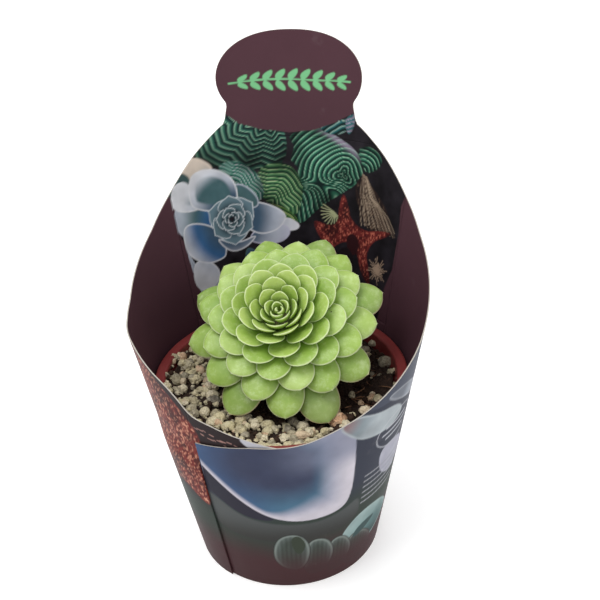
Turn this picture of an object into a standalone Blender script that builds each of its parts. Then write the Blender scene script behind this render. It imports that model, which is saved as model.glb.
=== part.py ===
"""A potted succulent: a tilted rosette of fleshy leaves in a terracotta plastic pot,
planted in soil with loose stones on top, the pot standing in a wrapped card sleeve
that rises behind the plant to an oval header.

Lengths are written in millimetres and turned into metres by MM. The origin is the
centre of the pot's base, +Z is up and the sleeve's low front edge faces -Y.
"""

import math

import bmesh
import bpy
from mathutils import Matrix, Vector, noise

MM = 0.001
GAP = 0.3                     # air kept between pieces that rest on or in each other
FULL_TURN = 2.0 * math.pi

# Pot: a thin tapered tub with a turned-over rim
POT_HEIGHT = 81.6
POT_RIM_RADIUS = 52.2
POT_BASE_RADIUS = 38.0
POT_WALL = 1.3
POT_FLOOR = 1.8
RIM_DEPTH = 8.0
RIM_LIP = 2.6
BASE_ROUND = 1.6
POT_SEGMENTS = 48
DRAIN_HOLES = 8
DRAIN_HOLE_RADIUS = 3.0
DRAIN_RING_RADIUS = 27.0

# Card sleeve: a cone cut from one card, lapped and locked at the front left
CARD = 0.5
SLEEVE_CLEARANCE = 1.05       # between the pot's rim and the inner side of the sleeve
LAP_GAP = 0.3
SLEEVE_FOOT = 0.4             # the card stops this far above the ground
NECK_HEIGHT = 166.0
HEADER_HEIGHT = 202.0
HEADER_HALF_ANGLE = 25.3
HEADER_DIRECTION = 171.0      # degrees from the front, turning towards +X
SLEEVE_STEP = 5.0             # degrees between the folds that bend the card
LOCK_DROP = 7.1               # the tab passes inside the panel this far below the pot's rim
LOCK_TURN = 149.5             # all turns are degrees from the header, positive towards -X
FLAP_FOOT_TURN = 148.2        # the outer flap's free edge runs down to here
TAB_END_TURN = 200.0          # the inner tab reaches round the front to here
TAB_DEPTH = 6.0
PANEL_END_TURN = LOCK_TURN - 359.6    # the panel between tab and flap ends here at its top
PANEL_FOOT_TURN = -221.0      # and here below the lock
LAP_START_TURN = 95.0         # from here on the left end of the card eases off the cone

# The card's cut top edge: (turn, share of the height from pot rim to neck)
EDGE_BACK = ((24.0, 1.0), (37.0, 0.87), (50.0, 0.72), (63.0, 0.585), (77.0, 0.48), (90.0, 0.385))
EDGE_LEFT = (
    (100.0, 0.36), (119.0, 0.37), (126.0, 0.335), (134.0, 0.3), (140.0, 0.28), (145.0, 0.24),
    (148.5, 0.185), (151.5, 0.148), (156.0, 0.138), (161.0, 0.125), (167.0, 0.1), (172.0, 0.085),
    (178.0, 0.064), (185.0, 0.036), (193.0, 0.012), (200.0, -0.004),
)
EDGE_RIGHT = (
    (101.0, 0.3), (114.0, 0.246), (128.0, 0.182), (138.0, 0.14), (150.0, 0.1), (162.0, 0.057),
    (169.0, 0.044), (185.0, 0.04), (198.0, 0.012), (211.0, -0.018),
)

# Soil and stones
SOIL_DROP = 8.5               # soil surface below the top of the pot
SOIL_SWELL = 1.6
STONE_COUNT = 12
STONE_SHARE = 0.194           # the largest one's radius, as a share of the ring free of leaves
STONE_START = -112.0          # direction of the first, then one every STONE_STEP degrees
STONE_STEP = 12.5
STONE_INSET = 0.394           # every second stone lies this share of the ring nearer the plant

# Plant
STEM_FOOT = (4.5, 13.0)      # where the stem leaves the soil
STEM_RADIUS = 3.3
STEM_SOCKET_DEPTH = 7.0
CROWN_MIDDLE = (0.3, -6.5)    # the youngest leaf's tip stands over this point
LEAF_CLEARANCE = 0.7          # between the lowest leaf tip and the soil
CROWN_TILT = 34.0             # degrees from upright
CROWN_TILT_DIRECTION = -15.0  # degrees from the front, turning towards +X
LEAF_TOTAL = 76               # every leaf of the rosette, counted from the youngest
HEART_LEAVES = 34             # the youngest leaves, which are one closed heart here
HEART_CLEAR_LEAVES = 6
GOLDEN_ANGLE = 137.508
LEAF_PHASE = 190.0
ROSETTE_RADIUS = 43.3
LEAF_SPREAD = 0.62
LEAF_CROWDING = 1.37          # above 1 the young leaves stand closer together than the old
LEAF_WIDTH = 16.6
LEAF_THICKNESS = 1.9
CROWN_DISH = 4.5
CROWN_DISH_AGE = 0.14         # leaves this ripe stand highest
CROWN_FALL = 26.0
CROWN_FALL_POWER = 1.2
CROWN_LENGTH = 21.0
CROWN_START = 1.2
HEART_LOBES = 9
HEART_STEPS = (1.0, 0.66, 0.4, 0.2, 0.06)
HEART_STEP_DROP = 1.1


def clear_scene():
    """Remove every object so the script can run again in an open file."""
    for item in list(bpy.data.objects):
        bpy.data.objects.remove(item, do_unlink=True)


def make_material(name, colour, roughness, coat=0.0):
    """One Principled material with a plain colour."""
    material = bpy.data.materials.new(name)
    material.use_nodes = True
    shader = material.node_tree.nodes["Principled BSDF"]
    shader.inputs["Base Color"].default_value = (*colour, 1.0)
    shader.inputs["Roughness"].default_value = roughness
    shader.inputs["Metallic"].default_value = 0.0
    shader.inputs["Coat Weight"].default_value = coat
    material.diffuse_color = (*colour, 1.0)
    return material


def object_from_bmesh(name, shape, material, parent=None, faces_set=False):
    """Turn a bmesh in millimetres into a named object in metres, faces outwards."""
    if not faces_set:
        bmesh.ops.recalc_face_normals(shape, faces=shape.faces)
    bmesh.ops.scale(shape, vec=(MM, MM, MM), verts=shape.verts)
    mesh = bpy.data.meshes.new(name)
    shape.to_mesh(mesh)
    shape.free()
    mesh.materials.append(material)
    item = bpy.data.objects.new(name, mesh)
    bpy.context.scene.collection.objects.link(item)
    item.parent = parent
    return item


def join_rings(shape, rings, closed_start=True, closed_end=True):
    """Skin a list of equal vertex rings with quads and cap the two ends."""
    for lower, upper in zip(rings, rings[1:]):
        count = len(lower)
        for i in range(count):
            j = (i + 1) % count
            shape.faces.new((lower[i], lower[j], upper[j], upper[i]))
    if closed_start:
        shape.faces.new(rings[0])
    if closed_end:
        shape.faces.new(rings[-1])


def add_fan(shape, ring, tip):
    """Close a ring onto a single vertex."""
    for i, vertex in enumerate(ring):
        shape.faces.new((vertex, ring[(i + 1) % len(ring)], tip))


def lathe(profile, segments):
    """Turn (radius, height) points about Z; the first and last point lie on the axis."""
    shape = bmesh.new()
    start = shape.verts.new((0.0, 0.0, profile[0][1]))
    end = shape.verts.new((0.0, 0.0, profile[-1][1]))
    rings = []
    for radius, height in profile[1:-1]:
        ring = []
        for i in range(segments):
            angle = FULL_TURN * i / segments
            ring.append(shape.verts.new((radius * math.cos(angle), radius * math.sin(angle), height)))
        rings.append(ring)
    join_rings(shape, rings, closed_start=False, closed_end=False)
    add_fan(shape, rings[0], start)
    add_fan(shape, rings[-1], end)
    return shape


def smoothstep(low, high, value):
    """0 below low, 1 above high, an even S between them."""
    share = min(max((value - low) / (high - low), 0.0), 1.0)
    return share * share * (3.0 - 2.0 * share)


def direction_to_xy(direction, radius):
    """Point at a compass direction in degrees: 0 is the front (-Y), 90 is +X."""
    angle = math.radians(direction)
    return radius * math.sin(angle), -radius * math.cos(angle)


# ---------------------------------------------------------------- pot

def rim_taper():
    """How much smaller the rim's foot is in radius than its top: it leans as the sleeve does."""
    return (POT_RIM_RADIUS - POT_BASE_RADIUS) * RIM_DEPTH / POT_HEIGHT


def pot_wall_radius(height):
    """Outer radius of the pot's tapered wall below its rim."""
    top_radius = POT_RIM_RADIUS - RIM_LIP - rim_taper() * 0.5
    return POT_BASE_RADIUS + (top_radius - POT_BASE_RADIUS) * height / POT_HEIGHT


def pot_inner_radius(height):
    """Inner radius of the pot's tapered wall."""
    return pot_wall_radius(height) - POT_WALL


def build_pot(material):
    """Tapered tub with a rounded turned-over rim and a ring of drain holes."""
    rim_foot = POT_HEIGHT - RIM_DEPTH
    rim_round = RIM_LIP / 2.0
    profile = [
        (0.0, 0.0),
        (POT_BASE_RADIUS - BASE_ROUND, 0.0),
        (POT_BASE_RADIUS, BASE_ROUND),
        (pot_wall_radius(rim_foot), rim_foot),
        (POT_RIM_RADIUS - rim_taper() - rim_round / 2.0, rim_foot),
        (POT_RIM_RADIUS - rim_taper(), rim_foot + rim_round / 2.0),
        (POT_RIM_RADIUS, POT_HEIGHT - rim_round),
        (POT_RIM_RADIUS - rim_round * 0.4, POT_HEIGHT - rim_round * 0.3),
        (POT_RIM_RADIUS - rim_round, POT_HEIGHT),
        (pot_inner_radius(POT_HEIGHT) + rim_round, POT_HEIGHT),
        (pot_inner_radius(POT_HEIGHT), POT_HEIGHT - rim_round),
        (pot_inner_radius(POT_FLOOR + BASE_ROUND), POT_FLOOR + BASE_ROUND),
        (pot_inner_radius(POT_FLOOR) - BASE_ROUND, POT_FLOOR),
        (0.0, POT_FLOOR),
    ]
    pot = object_from_bmesh("pot", lathe(profile, POT_SEGMENTS), material)
    cutters = bmesh.new()
    for i in range(DRAIN_HOLES):
        angle = FULL_TURN * i / DRAIN_HOLES
        x = DRAIN_RING_RADIUS * math.cos(angle)
        y = DRAIN_RING_RADIUS * math.sin(angle)
        bmesh.ops.create_cone(
            cutters,
            cap_ends=True,
            segments=12,
            radius1=DRAIN_HOLE_RADIUS,
            radius2=DRAIN_HOLE_RADIUS,
            depth=POT_FLOOR * 4.0,
            matrix=Matrix.Translation((x, y, POT_FLOOR / 2.0)),
        )
    holes = object_from_bmesh("drain_hole_cutter", cutters, material)
    cut_away(pot, holes)
    return pot


def cut_away(item, cutter):
    """Subtract a hidden cutter object from an item with an exact Boolean."""
    cutter.hide_render = True
    cutter.display_type = "WIRE"
    cut = item.modifiers.new("cut", "BOOLEAN")
    cut.operation = "DIFFERENCE"
    cut.solver = "EXACT"
    cut.object = cutter


# ---------------------------------------------------------------- card sleeve

def sleeve_radius(height):
    """Outer radius of the card cone: it clears the pot's base and the pot's rim alike."""
    foot = POT_BASE_RADIUS + SLEEVE_CLEARANCE + CARD
    rim = POT_RIM_RADIUS + SLEEVE_CLEARANCE + LAP_GAP + CARD
    return foot + (rim - foot) * height / POT_HEIGHT


def knot_height(knots, turn):
    """Height of the top edge at a turn, eased between the knots either side of it."""
    for (first, low), (second, high) in zip(knots, knots[1:]):
        if first <= turn <= second:
            share = low + (high - low) * (turn - first) / (second - first)
            return POT_HEIGHT + share * (NECK_HEIGHT - POT_HEIGHT)
    return NECK_HEIGHT


def edge_points(knots, last_turn):
    """Points along one side's top edge, from the neck round to its free end."""
    turns = [turn for turn, share in knots]
    turns += [turn + (after - turn) / 2.0 for turn, after in zip(turns, turns[1:])]
    return [(turn, knot_height(knots, turn)) for turn in sorted(turns) if turn <= last_turn]


def sleeve_outline():
    """Flat outline of the card as (turn, height), once around, header included."""
    lock_height = POT_HEIGHT - LOCK_DROP
    left = edge_points(EDGE_BACK + EDGE_LEFT, TAB_END_TURN)
    right = edge_points(EDGE_BACK + EDGE_RIGHT, -PANEL_END_TURN)
    header_middle = (HEADER_HEIGHT + NECK_HEIGHT) / 2.0 - 1.0
    header_half = HEADER_HEIGHT - header_middle
    header = []
    for step in range(-3, 22):
        angle = math.pi * step / 18.0
        swing = math.cos(angle)
        turn = math.copysign(HEADER_HALF_ANGLE * abs(swing) ** 0.85, swing)
        header.append((turn, header_middle + header_half * math.sin(angle)))
    foot = [
        (PANEL_END_TURN, lock_height - 6.0),
        (PANEL_FOOT_TURN + 3.0, lock_height - 10.0),
        (PANEL_FOOT_TURN, lock_height - 20.0),
        (PANEL_FOOT_TURN, SLEEVE_FOOT),
        (FLAP_FOOT_TURN, SLEEVE_FOOT),
        (LOCK_TURN - 0.2, lock_height - 1.0),
        (LOCK_TURN, lock_height - 0.5),
        (LOCK_TURN + 2.0, lock_height - 0.5),
        (LOCK_TURN + 14.0, lock_height - TAB_DEPTH),
        (TAB_END_TURN - 3.0, lock_height - TAB_DEPTH),
        (TAB_END_TURN, lock_height - TAB_DEPTH + 3.0),
    ]
    mirrored = [(-turn, height) for turn, height in right]
    return list(reversed(left)) + header + mirrored + foot


def lap_offset(turn, height):
    """How far the card stands off its cone: tab inwards, flap outwards, panel not at all."""
    lock_height = POT_HEIGHT - LOCK_DROP
    share = smoothstep(LAP_START_TURN, LOCK_TURN - 8.0, turn)
    side = 1.0 - 2.0 * smoothstep(lock_height - 12.0, lock_height + 2.0, height)
    if turn > LOCK_TURN + 0.5:
        side = -1.0
    return (CARD + LAP_GAP) * share * side


def build_sleeve(material):
    """Cut the card flat, score it in narrow strips, then wrap it round the pot's cone."""
    shape = bmesh.new()
    outline = [shape.verts.new((turn, height, 0.0)) for turn, height in sleeve_outline()]
    shape.faces.new(outline)
    extruded = bmesh.ops.extrude_face_region(shape, geom=list(shape.faces))
    raised = [item for item in extruded["geom"] if isinstance(item, bmesh.types.BMVert)]
    bmesh.ops.translate(shape, vec=(0.0, 0.0, CARD), verts=raised)
    turn = PANEL_FOOT_TURN + SLEEVE_STEP
    while turn < TAB_END_TURN:
        geometry = list(shape.verts) + list(shape.edges) + list(shape.faces)
        bmesh.ops.bisect_plane(shape, geom=geometry, plane_co=(turn, 0.0, 0.0), plane_no=(1.0, 0.0, 0.0))
        turn += SLEEVE_STEP
    for height in (POT_HEIGHT - LOCK_DROP * 2.0, POT_HEIGHT - LOCK_DROP, POT_HEIGHT + 20.0):
        geometry = list(shape.verts) + list(shape.edges) + list(shape.faces)
        bmesh.ops.bisect_plane(shape, geom=geometry, plane_co=(0.0, height, 0.0), plane_no=(0.0, 1.0, 0.0))
    bmesh.ops.triangulate(shape, faces=list(shape.faces))
    bmesh.ops.recalc_face_normals(shape, faces=shape.faces)
    for vertex in shape.verts:
        turn, height, depth = vertex.co
        radius = sleeve_radius(height) + lap_offset(turn, height) - CARD + depth
        x, y = direction_to_xy(HEADER_DIRECTION + turn, radius)
        vertex.co = (x, y, height)
    return object_from_bmesh("card_sleeve", shape, material, faces_set=True)


# ---------------------------------------------------------------- soil and stones

def soil_height(x, y):
    """Height of the soil surface: nearly level, with low swells."""
    swell = math.sin(x * 0.13 + 0.6) * math.cos(y * 0.11 - 0.4)
    return POT_HEIGHT - SOIL_DROP + SOIL_SWELL * 0.5 * swell


def build_soil(material):
    """Soil filling the pot, with a socket where the stem is planted."""
    floor = POT_FLOOR + GAP
    rings = ((0.3, floor), (1.0, floor), (1.0, None), (0.8, None), (0.6, None), (0.4, None), (0.2, None))
    segments = 32
    shape = bmesh.new()
    loops = []
    for share, height in rings:
        level = floor + BASE_ROUND if height is not None else POT_HEIGHT - SOIL_DROP - SOIL_SWELL
        reach = pot_inner_radius(level) - GAP * 2.0
        if height is not None:
            reach -= BASE_ROUND
        loop = []
        for i in range(segments):
            angle = FULL_TURN * i / segments
            x = share * reach * math.cos(angle)
            y = share * reach * math.sin(angle)
            top = soil_height(x, y) if height is None else height
            loop.append(shape.verts.new((x, y, top)))
        loops.append(loop)
    join_rings(shape, loops, closed_start=True, closed_end=False)
    add_fan(shape, loops[-1], shape.verts.new((0.0, 0.0, soil_height(0.0, 0.0))))
    soil = object_from_bmesh("soil", shape, material)
    socket = bmesh.new()
    depth = STEM_SOCKET_DEPTH + GAP
    bmesh.ops.create_cone(
        socket,
        cap_ends=True,
        segments=20,
        radius1=STEM_RADIUS + GAP * 2.0,
        radius2=STEM_RADIUS + GAP * 2.0,
        depth=depth * 2.0,
        matrix=Matrix.Translation((*STEM_FOOT, soil_height(*STEM_FOOT))),
    )
    cut_away(soil, object_from_bmesh("stem_socket_cutter", socket, material))
    return soil


def build_stones(material):
    """Pebbles lying on the soil round the left and front of the pot, two deep, clear of the leaves."""
    wall = pot_inner_radius(POT_HEIGHT - SOIL_DROP) - GAP * 2.0
    free_ring = wall - lowest_leaf_reach()
    for i in range(STONE_COUNT):
        size = STONE_SHARE * free_ring * (1.0 - 0.3 * ((i * 5) % 4) / 3.0)
        direction = STONE_START + STONE_STEP * i
        reach = wall - free_ring * (STONE_SHARE + (STONE_INSET if i % 2 else 0.0))
        x, y = direction_to_xy(direction, reach)
        shape = bmesh.new()
        bmesh.ops.create_icosphere(shape, subdivisions=2, radius=size)
        seed = Vector((i * 3.7, i * 1.3, 5.1))
        for vertex in shape.verts:
            vertex.co *= 1.0 + 0.2 * noise.noise(vertex.co * 0.35 + seed)
            vertex.co.z *= 0.8
        base = min(vertex.co.z for vertex in shape.verts)
        under = max(soil_height(x + dx, y + dy) for dx in (-size, 0.0, size) for dy in (-size, 0.0, size))
        stone = object_from_bmesh(f"stone_{i + 1:02d}", shape, material)
        stone.location = Vector((x, y, under - base + GAP)) * MM


# ---------------------------------------------------------------- plant

def lowest_leaf_reach():
    """Distance from the pot's axis to the tip of the oldest leaf on the crown's low side."""
    tilt = math.radians(CROWN_TILT)
    hang = CROWN_FALL - CROWN_DISH
    return ROSETTE_RADIUS * math.cos(tilt) - hang * math.sin(tilt) - CROWN_MIDDLE[1]


def crown_top():
    """Tip of the youngest leaf, high enough for the lowest leaf tip to clear the soil."""
    tilt = math.radians(CROWN_TILT)
    hang = CROWN_FALL - CROWN_DISH
    rise = ROSETTE_RADIUS * math.sin(tilt) + hang * math.cos(tilt) + LEAF_CLEARANCE
    return Vector((*CROWN_MIDDLE, POT_HEIGHT - SOIL_DROP + rise))


def crown_empty():
    """Empty at the youngest leaf's tip, tilted with the crown; every leaf hangs on it."""
    crown = bpy.data.objects.new("crown_frame", None)
    bpy.context.scene.collection.objects.link(crown)
    lean_x, lean_y = direction_to_xy(CROWN_TILT_DIRECTION, 1.0)
    tilt_axis = Vector((0.0, 0.0, 1.0)).cross(Vector((lean_x, lean_y, 0.0)))
    turn = Matrix.Rotation(math.radians(CROWN_TILT), 4, tilt_axis)
    crown.matrix_world = Matrix.Translation(crown_top() * MM) @ turn
    return crown


def crown_axis():
    """Direction the crown points in."""
    lean_x, lean_y = direction_to_xy(CROWN_TILT_DIRECTION, math.sin(math.radians(CROWN_TILT)))
    return Vector((lean_x, lean_y, math.cos(math.radians(CROWN_TILT))))


def leaf_root(age):
    """Where a leaf of this age (0 youngest, 1 oldest) leaves the stem: radius, height."""
    radius = 0.5 + (STEM_RADIUS + GAP) * min(1.0, age / 0.2) ** 0.7
    return Vector((radius, -CROWN_START - CROWN_LENGTH * age))


def leaf_tip(age):
    """Tip of a leaf in the crown's half plane: the crown is dished, then falls away."""
    ripe = age ** LEAF_CROWDING
    radius = 0.8 + (ROSETTE_RADIUS - 0.8) * ripe ** LEAF_SPREAD
    if ripe < CROWN_DISH_AGE:
        share = ripe / CROWN_DISH_AGE
        height = CROWN_DISH * share * (2.0 - share)
    else:
        fallen = (ripe - CROWN_DISH_AGE) / (1.0 - CROWN_DISH_AGE)
        height = CROWN_DISH - CROWN_FALL * fallen ** CROWN_FALL_POWER
    return Vector((radius, height))


def leaf_bend(age):
    """Middle control point: young leaves cup upwards, old ones arch over and hang."""
    root = leaf_root(age)
    tip = leaf_tip(age)
    along = tip - root
    outward = Vector((along.y, -along.x))
    bow = 0.16 - 0.4 * smoothstep(0.1, 0.9, age)
    return root + along * 0.55 + outward * bow


def leaf_width(age):
    """Widest breadth of a leaf."""
    return LEAF_WIDTH * (0.3 + 0.7 * age ** 0.5)


def curve_point(age, along):
    """Point and unit normal (towards the upper face) of a leaf's middle line."""
    root = leaf_root(age)
    bend = leaf_bend(age)
    tip = leaf_tip(age)
    back = 1.0 - along
    point = root * back * back + bend * 2.0 * back * along + tip * along * along
    slope = (bend - root) * back + (tip - bend) * along
    slope.normalize()
    return point, Vector((-slope.y, slope.x))


def breadth_share(along):
    """Outline of a leaf: a narrow foot widening to a blunt rounded end."""
    widest = 0.68
    if along < widest:
        return 0.16 + 0.84 * math.sin(0.5 * math.pi * along / widest) ** 1.7
    return math.sqrt(max(0.0, 1.0 - ((along - widest) / (1.0 - widest)) ** 2.2))


def leaf_ring(shape, age, turn, along, thickness):
    """One closed cross-section ring of a leaf, wrapped about the crown's axis."""
    point, normal = curve_point(age, along)
    half = 0.5 * leaf_width(age) * breadth_share(along)
    swell = thickness * (0.3 + 0.7 * math.sin(math.pi * min(along, 0.92) / 1.2) ** 2)
    ring = []
    for across, side in ((-1, 0), (-0.55, 1), (0, 1), (0.55, 1), (1, 0), (0.55, -1), (0, -1), (-0.55, -1)):
        lift = side * 0.5 * swell * (1.0 - 0.45 * across * across)
        radius = point.x + normal.x * lift
        height = point.y + normal.y * lift
        angle = turn + across * half / max(point.x, half * 0.72)
        ring.append(shape.verts.new((radius * math.cos(angle), radius * math.sin(angle), height)))
    return ring


def build_leaf(number, material, crown):
    """One outer leaf as a closed blade; number counts from the youngest of all leaves."""
    age = number / (LEAF_TOTAL - 1)
    turn = math.radians(GOLDEN_ANGLE * number + LEAF_PHASE)
    thickness = LEAF_THICKNESS * (0.6 + 0.4 * age)
    shape = bmesh.new()
    stations = (0.0, 0.2, 0.4, 0.56, 0.7, 0.82, 0.91, 0.97)
    rings = [leaf_ring(shape, age, turn, along, thickness) for along in stations]
    join_rings(shape, rings, closed_start=True, closed_end=False)
    tip = leaf_tip(age)
    add_fan(shape, rings[-1], shape.verts.new((tip.x * math.cos(turn), tip.x * math.sin(turn), tip.y)))
    return object_from_bmesh(f"leaf_{number - HEART_LEAVES + 1:02d}", shape, material, crown)


def build_heart(material, crown):
    """The youngest leaves as one closed dished bud with a lobed, stepped top."""
    age = (HEART_LEAVES - HEART_CLEAR_LEAVES) / (LEAF_TOTAL - 1)
    under = [curve_point(age, along)[0] for along in (0.0, 0.2, 0.4, 0.6, 0.8, 0.93)]
    over = []
    for share in HEART_STEPS:
        tip = leaf_tip(age * share)
        over.append(tip)
        if share < 1.0:
            over.append(Vector((tip.x * 0.93, tip.y - HEART_STEP_DROP)))
    shape = bmesh.new()
    rings = []
    for i, point in enumerate(under + over):
        lobed = i >= len(under)
        ring = []
        for k in range(HEART_LOBES * 4):
            turn = FULL_TURN * k / (HEART_LOBES * 4)
            twist = 0.5 * ((i - len(under)) // 2)
            wave = 1.0 - 0.09 * math.sin(math.pi * (k / 4.0 + twist)) ** 2 if lobed else 1.0
            radius = point.x * wave
            ring.append(shape.verts.new((radius * math.cos(turn), radius * math.sin(turn), point.y)))
        rings.append(ring)
    join_rings(shape, rings, closed_start=True, closed_end=False)
    add_fan(shape, rings[-1], shape.verts.new((0.0, 0.0, 0.0)))
    return object_from_bmesh("heart", shape, material, crown)


def build_stem(material):
    """Short stem from its socket in the soil up the crown's axis to below the heart."""
    heart_age = (HEART_LEAVES - HEART_CLEAR_LEAVES) / (LEAF_TOTAL - 1)
    axis = crown_axis()
    tip = crown_top()
    top = tip + axis * (leaf_root(heart_age).y - GAP)
    shoulder = tip - axis * (CROWN_START + CROWN_LENGTH + 3.0)
    foot = Vector((*STEM_FOOT, soil_height(*STEM_FOOT) - STEM_SOCKET_DEPTH))
    bend = Vector((foot.x, foot.y, (foot.z + shoulder.z) / 2.0))
    path = []
    for step in range(7):
        along = step / 6.0
        back = 1.0 - along
        path.append(foot * back * back + bend * 2.0 * back * along + shoulder * along * along)
    path.append(top)
    shape = bmesh.new()
    rings = []
    for i, centre in enumerate(path):
        before = path[max(i - 1, 0)]
        after = path[min(i + 1, len(path) - 1)]
        direction = Vector((0.0, 0.0, 1.0)) if i == 0 else (after - before).normalized()
        if i >= len(path) - 2:
            direction = axis
        side = direction.cross(Vector((1.0, 0.0, 0.0))).normalized()
        other = side.cross(direction)
        ring = []
        for k in range(14):
            angle = FULL_TURN * k / 14
            offset = side * math.cos(angle) + other * math.sin(angle)
            ring.append(shape.verts.new(centre + offset * STEM_RADIUS))
        rings.append(ring)
    join_rings(shape, rings)
    return object_from_bmesh("stem", shape, material)


def main():
    """Build every piece of the potted plant."""
    clear_scene()
    terracotta = make_material("pot_plastic", (0.29, 0.055, 0.05), 0.45)
    card = make_material("printed_card", (0.05, 0.022, 0.027), 0.38, coat=0.25)
    earth = make_material("soil_peat", (0.035, 0.022, 0.016), 0.95)
    pumice = make_material("pumice", (0.45, 0.40, 0.30), 0.9)
    bark = make_material("stem_bark", (0.16, 0.17, 0.06), 0.7)
    leaf_green = make_material("leaf_green", (0.30, 0.47, 0.13), 0.42)
    build_pot(terracotta)
    build_sleeve(card)
    build_soil(earth)
    build_stones(pumice)
    crown = crown_empty()
    build_stem(bark)
    build_heart(leaf_green, crown)
    for number in range(HEART_LEAVES, LEAF_TOTAL):
        build_leaf(number, leaf_green, crown)


main()
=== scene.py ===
"""Looks for the potted succulent: leaves, pot, soil, stones and the printed card sleeve.

Shapes are worked out in millimetres as whole numpy arrays and turned into metres by MM.
"""

import math

import bpy
import numpy as np
from mathutils import Matrix, Vector


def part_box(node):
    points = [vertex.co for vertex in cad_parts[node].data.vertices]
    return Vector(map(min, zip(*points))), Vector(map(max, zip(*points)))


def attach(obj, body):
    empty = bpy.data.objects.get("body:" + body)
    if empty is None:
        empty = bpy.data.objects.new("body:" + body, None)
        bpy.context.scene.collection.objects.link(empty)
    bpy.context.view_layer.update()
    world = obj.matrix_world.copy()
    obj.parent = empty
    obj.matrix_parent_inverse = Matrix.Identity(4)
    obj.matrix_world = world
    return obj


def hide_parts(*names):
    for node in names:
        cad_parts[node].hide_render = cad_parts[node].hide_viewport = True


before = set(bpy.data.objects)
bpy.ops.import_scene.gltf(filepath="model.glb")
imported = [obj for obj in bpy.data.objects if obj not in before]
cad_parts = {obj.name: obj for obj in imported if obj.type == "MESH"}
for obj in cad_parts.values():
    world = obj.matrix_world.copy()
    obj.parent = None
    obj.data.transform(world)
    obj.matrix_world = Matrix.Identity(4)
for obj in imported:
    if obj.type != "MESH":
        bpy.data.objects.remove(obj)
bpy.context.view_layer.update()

MM = 0.001
FULL_TURN = 2.0 * math.pi

# Driving dimensions shared with the solid model (millimetres, degrees)
POT_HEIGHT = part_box("pot")[1].z / MM
POT_RIM_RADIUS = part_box("pot")[1].x / MM
POT_BASE_RADIUS = 38.0
POT_WALL = 1.3
POT_FLOOR = 1.8
BASE_ROUND = 1.6
RIM_DEPTH = 8.0
RIM_LIP = 2.6
DRAIN_HOLES = 8
DRAIN_HOLE_RADIUS = 3.0
DRAIN_RING_RADIUS = 27.0
CARD = 0.5
LAP_GAP = 0.3
SLEEVE_CLEARANCE = 1.05
SLEEVE_FOOT = 0.4
NECK_HEIGHT = 166.0
HEADER_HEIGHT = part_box("card_sleeve")[1].z / MM
HEADER_HALF_ANGLE = 25.3
HEADER_DIRECTION = 171.0
LOCK_HEIGHT = POT_HEIGHT - 7.1
LOCK_TURN = 149.5
TAB_END_TURN = 200.0
PANEL_FOOT_TURN = -221.0
SOIL_DROP = 8.5
STEM_FOOT = (4.5, 13.0)
STEM_RADIUS = 3.15
STEM_SOCKET_DEPTH = 6.9
CROWN_MIDDLE = (0.3, -6.5)
CROWN_TILT = 34.0
CROWN_TILT_DIRECTION = -15.0
LEAF_CLEARANCE = 0.7
ROSETTE_RADIUS = 43.3
CROWN_DISH = 4.5
CROWN_DISH_AGE = 0.14
CROWN_FALL = 26.0
CROWN_FALL_POWER = 1.2
CROWN_LENGTH = 21.0
CROWN_START = 1.2
LEAF_TOTAL = 76
HEART_LEAVES = 34
GOLDEN_ANGLE = 137.508
LEAF_PHASE = 190.0
LEAF_WIDTH = 16.6
LEAF_THICKNESS = 1.9
LEAF_SPREAD = 0.62
LEAF_CROWDING = 1.37
LEDGE_LIFT = 1.8

# Soil and stones: how far out they lie, and how many small ones there are
SOIL_REACH = 48.8
GRIT_COUNT = 1150
CRUMB_COUNT = 620
FIBRE_COUNT = 260
FIBRE_REACH = 48.4
FIBRE_SIDES = 5

# Where the card's patches meet
PICTURE_TURN = 50.0
PICTURE_FOOT = 84.0
HEADER_SEAM = 158.0
NECK_TURN = 24.0
LEFT_SIDE_TURN = 104.0
RIGHT_SIDE_TURN = -100.0


# ---------------------------------------------------------------- small tools

def tint(red, green, blue):
    """Linear colour from the 0-255 numbers of a paint chart."""
    share = np.array((red, green, blue), float) / 255.0
    return np.where(share <= 0.04045, share / 12.92, ((share + 0.055) / 1.055) ** 2.4)


def smoothstep(low, high, value):
    """0 below low, 1 above high, an even S between them."""
    share = np.clip((value - low) / (high - low), 0.0, 1.0)
    return share * share * (3.0 - 2.0 * share)


def direction_to_xy(direction, radius):
    """Point at a compass direction in degrees: 0 is the front (-Y), 90 is +X."""
    angle = np.radians(direction)
    return radius * np.sin(angle), -radius * np.cos(angle)


NOISE_TABLE = np.random.default_rng(11).random((32, 32, 32)) * 2.0 - 1.0


def cloud(x, y, z=0.0, layers=3):
    """Soft noise: random heights at whole numbers eased between them, in layers of half size."""
    total = 0.0
    strength = 1.0
    x, y, z = np.broadcast_arrays(np.asarray(x, float), y, z)
    for layer in range(layers):
        low = [np.floor(axis).astype(int) for axis in (x, y, z)]
        part = [axis - base for axis, base in zip((x, y, z), low)]
        part = [share * share * (3.0 - 2.0 * share) for share in part]
        value = 0.0
        for corner in range(8):
            steps = (corner & 1, corner >> 1 & 1, corner >> 2)
            weight = 1.0
            for share, step in zip(part, steps):
                weight = weight * (share if step else 1.0 - share)
            i, j, k = [(base + step + layer * 7) % 32 for base, step in zip(low, steps)]
            value = value + weight * NOISE_TABLE[i, j, k]
        total = total + value * strength
        strength *= 0.5
        x, y, z = x * 2.03, y * 2.03, z * 2.03
    return total


def grid_faces(rows, columns, wrap):
    """Quads of a grid numbered row by row; wrap joins the last column to the first."""
    row = np.arange(rows - 1)[:, None]
    column = np.arange(columns if wrap else columns - 1)[None, :]
    after = (column + 1) % columns
    first = row * columns + column
    second = row * columns + after
    return np.stack([first, second, second + columns, first + columns], -1).reshape(-1, 4)


def full_circle(count):
    """Evenly spaced angles once round, in radians."""
    return FULL_TURN * np.arange(count) / count


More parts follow.
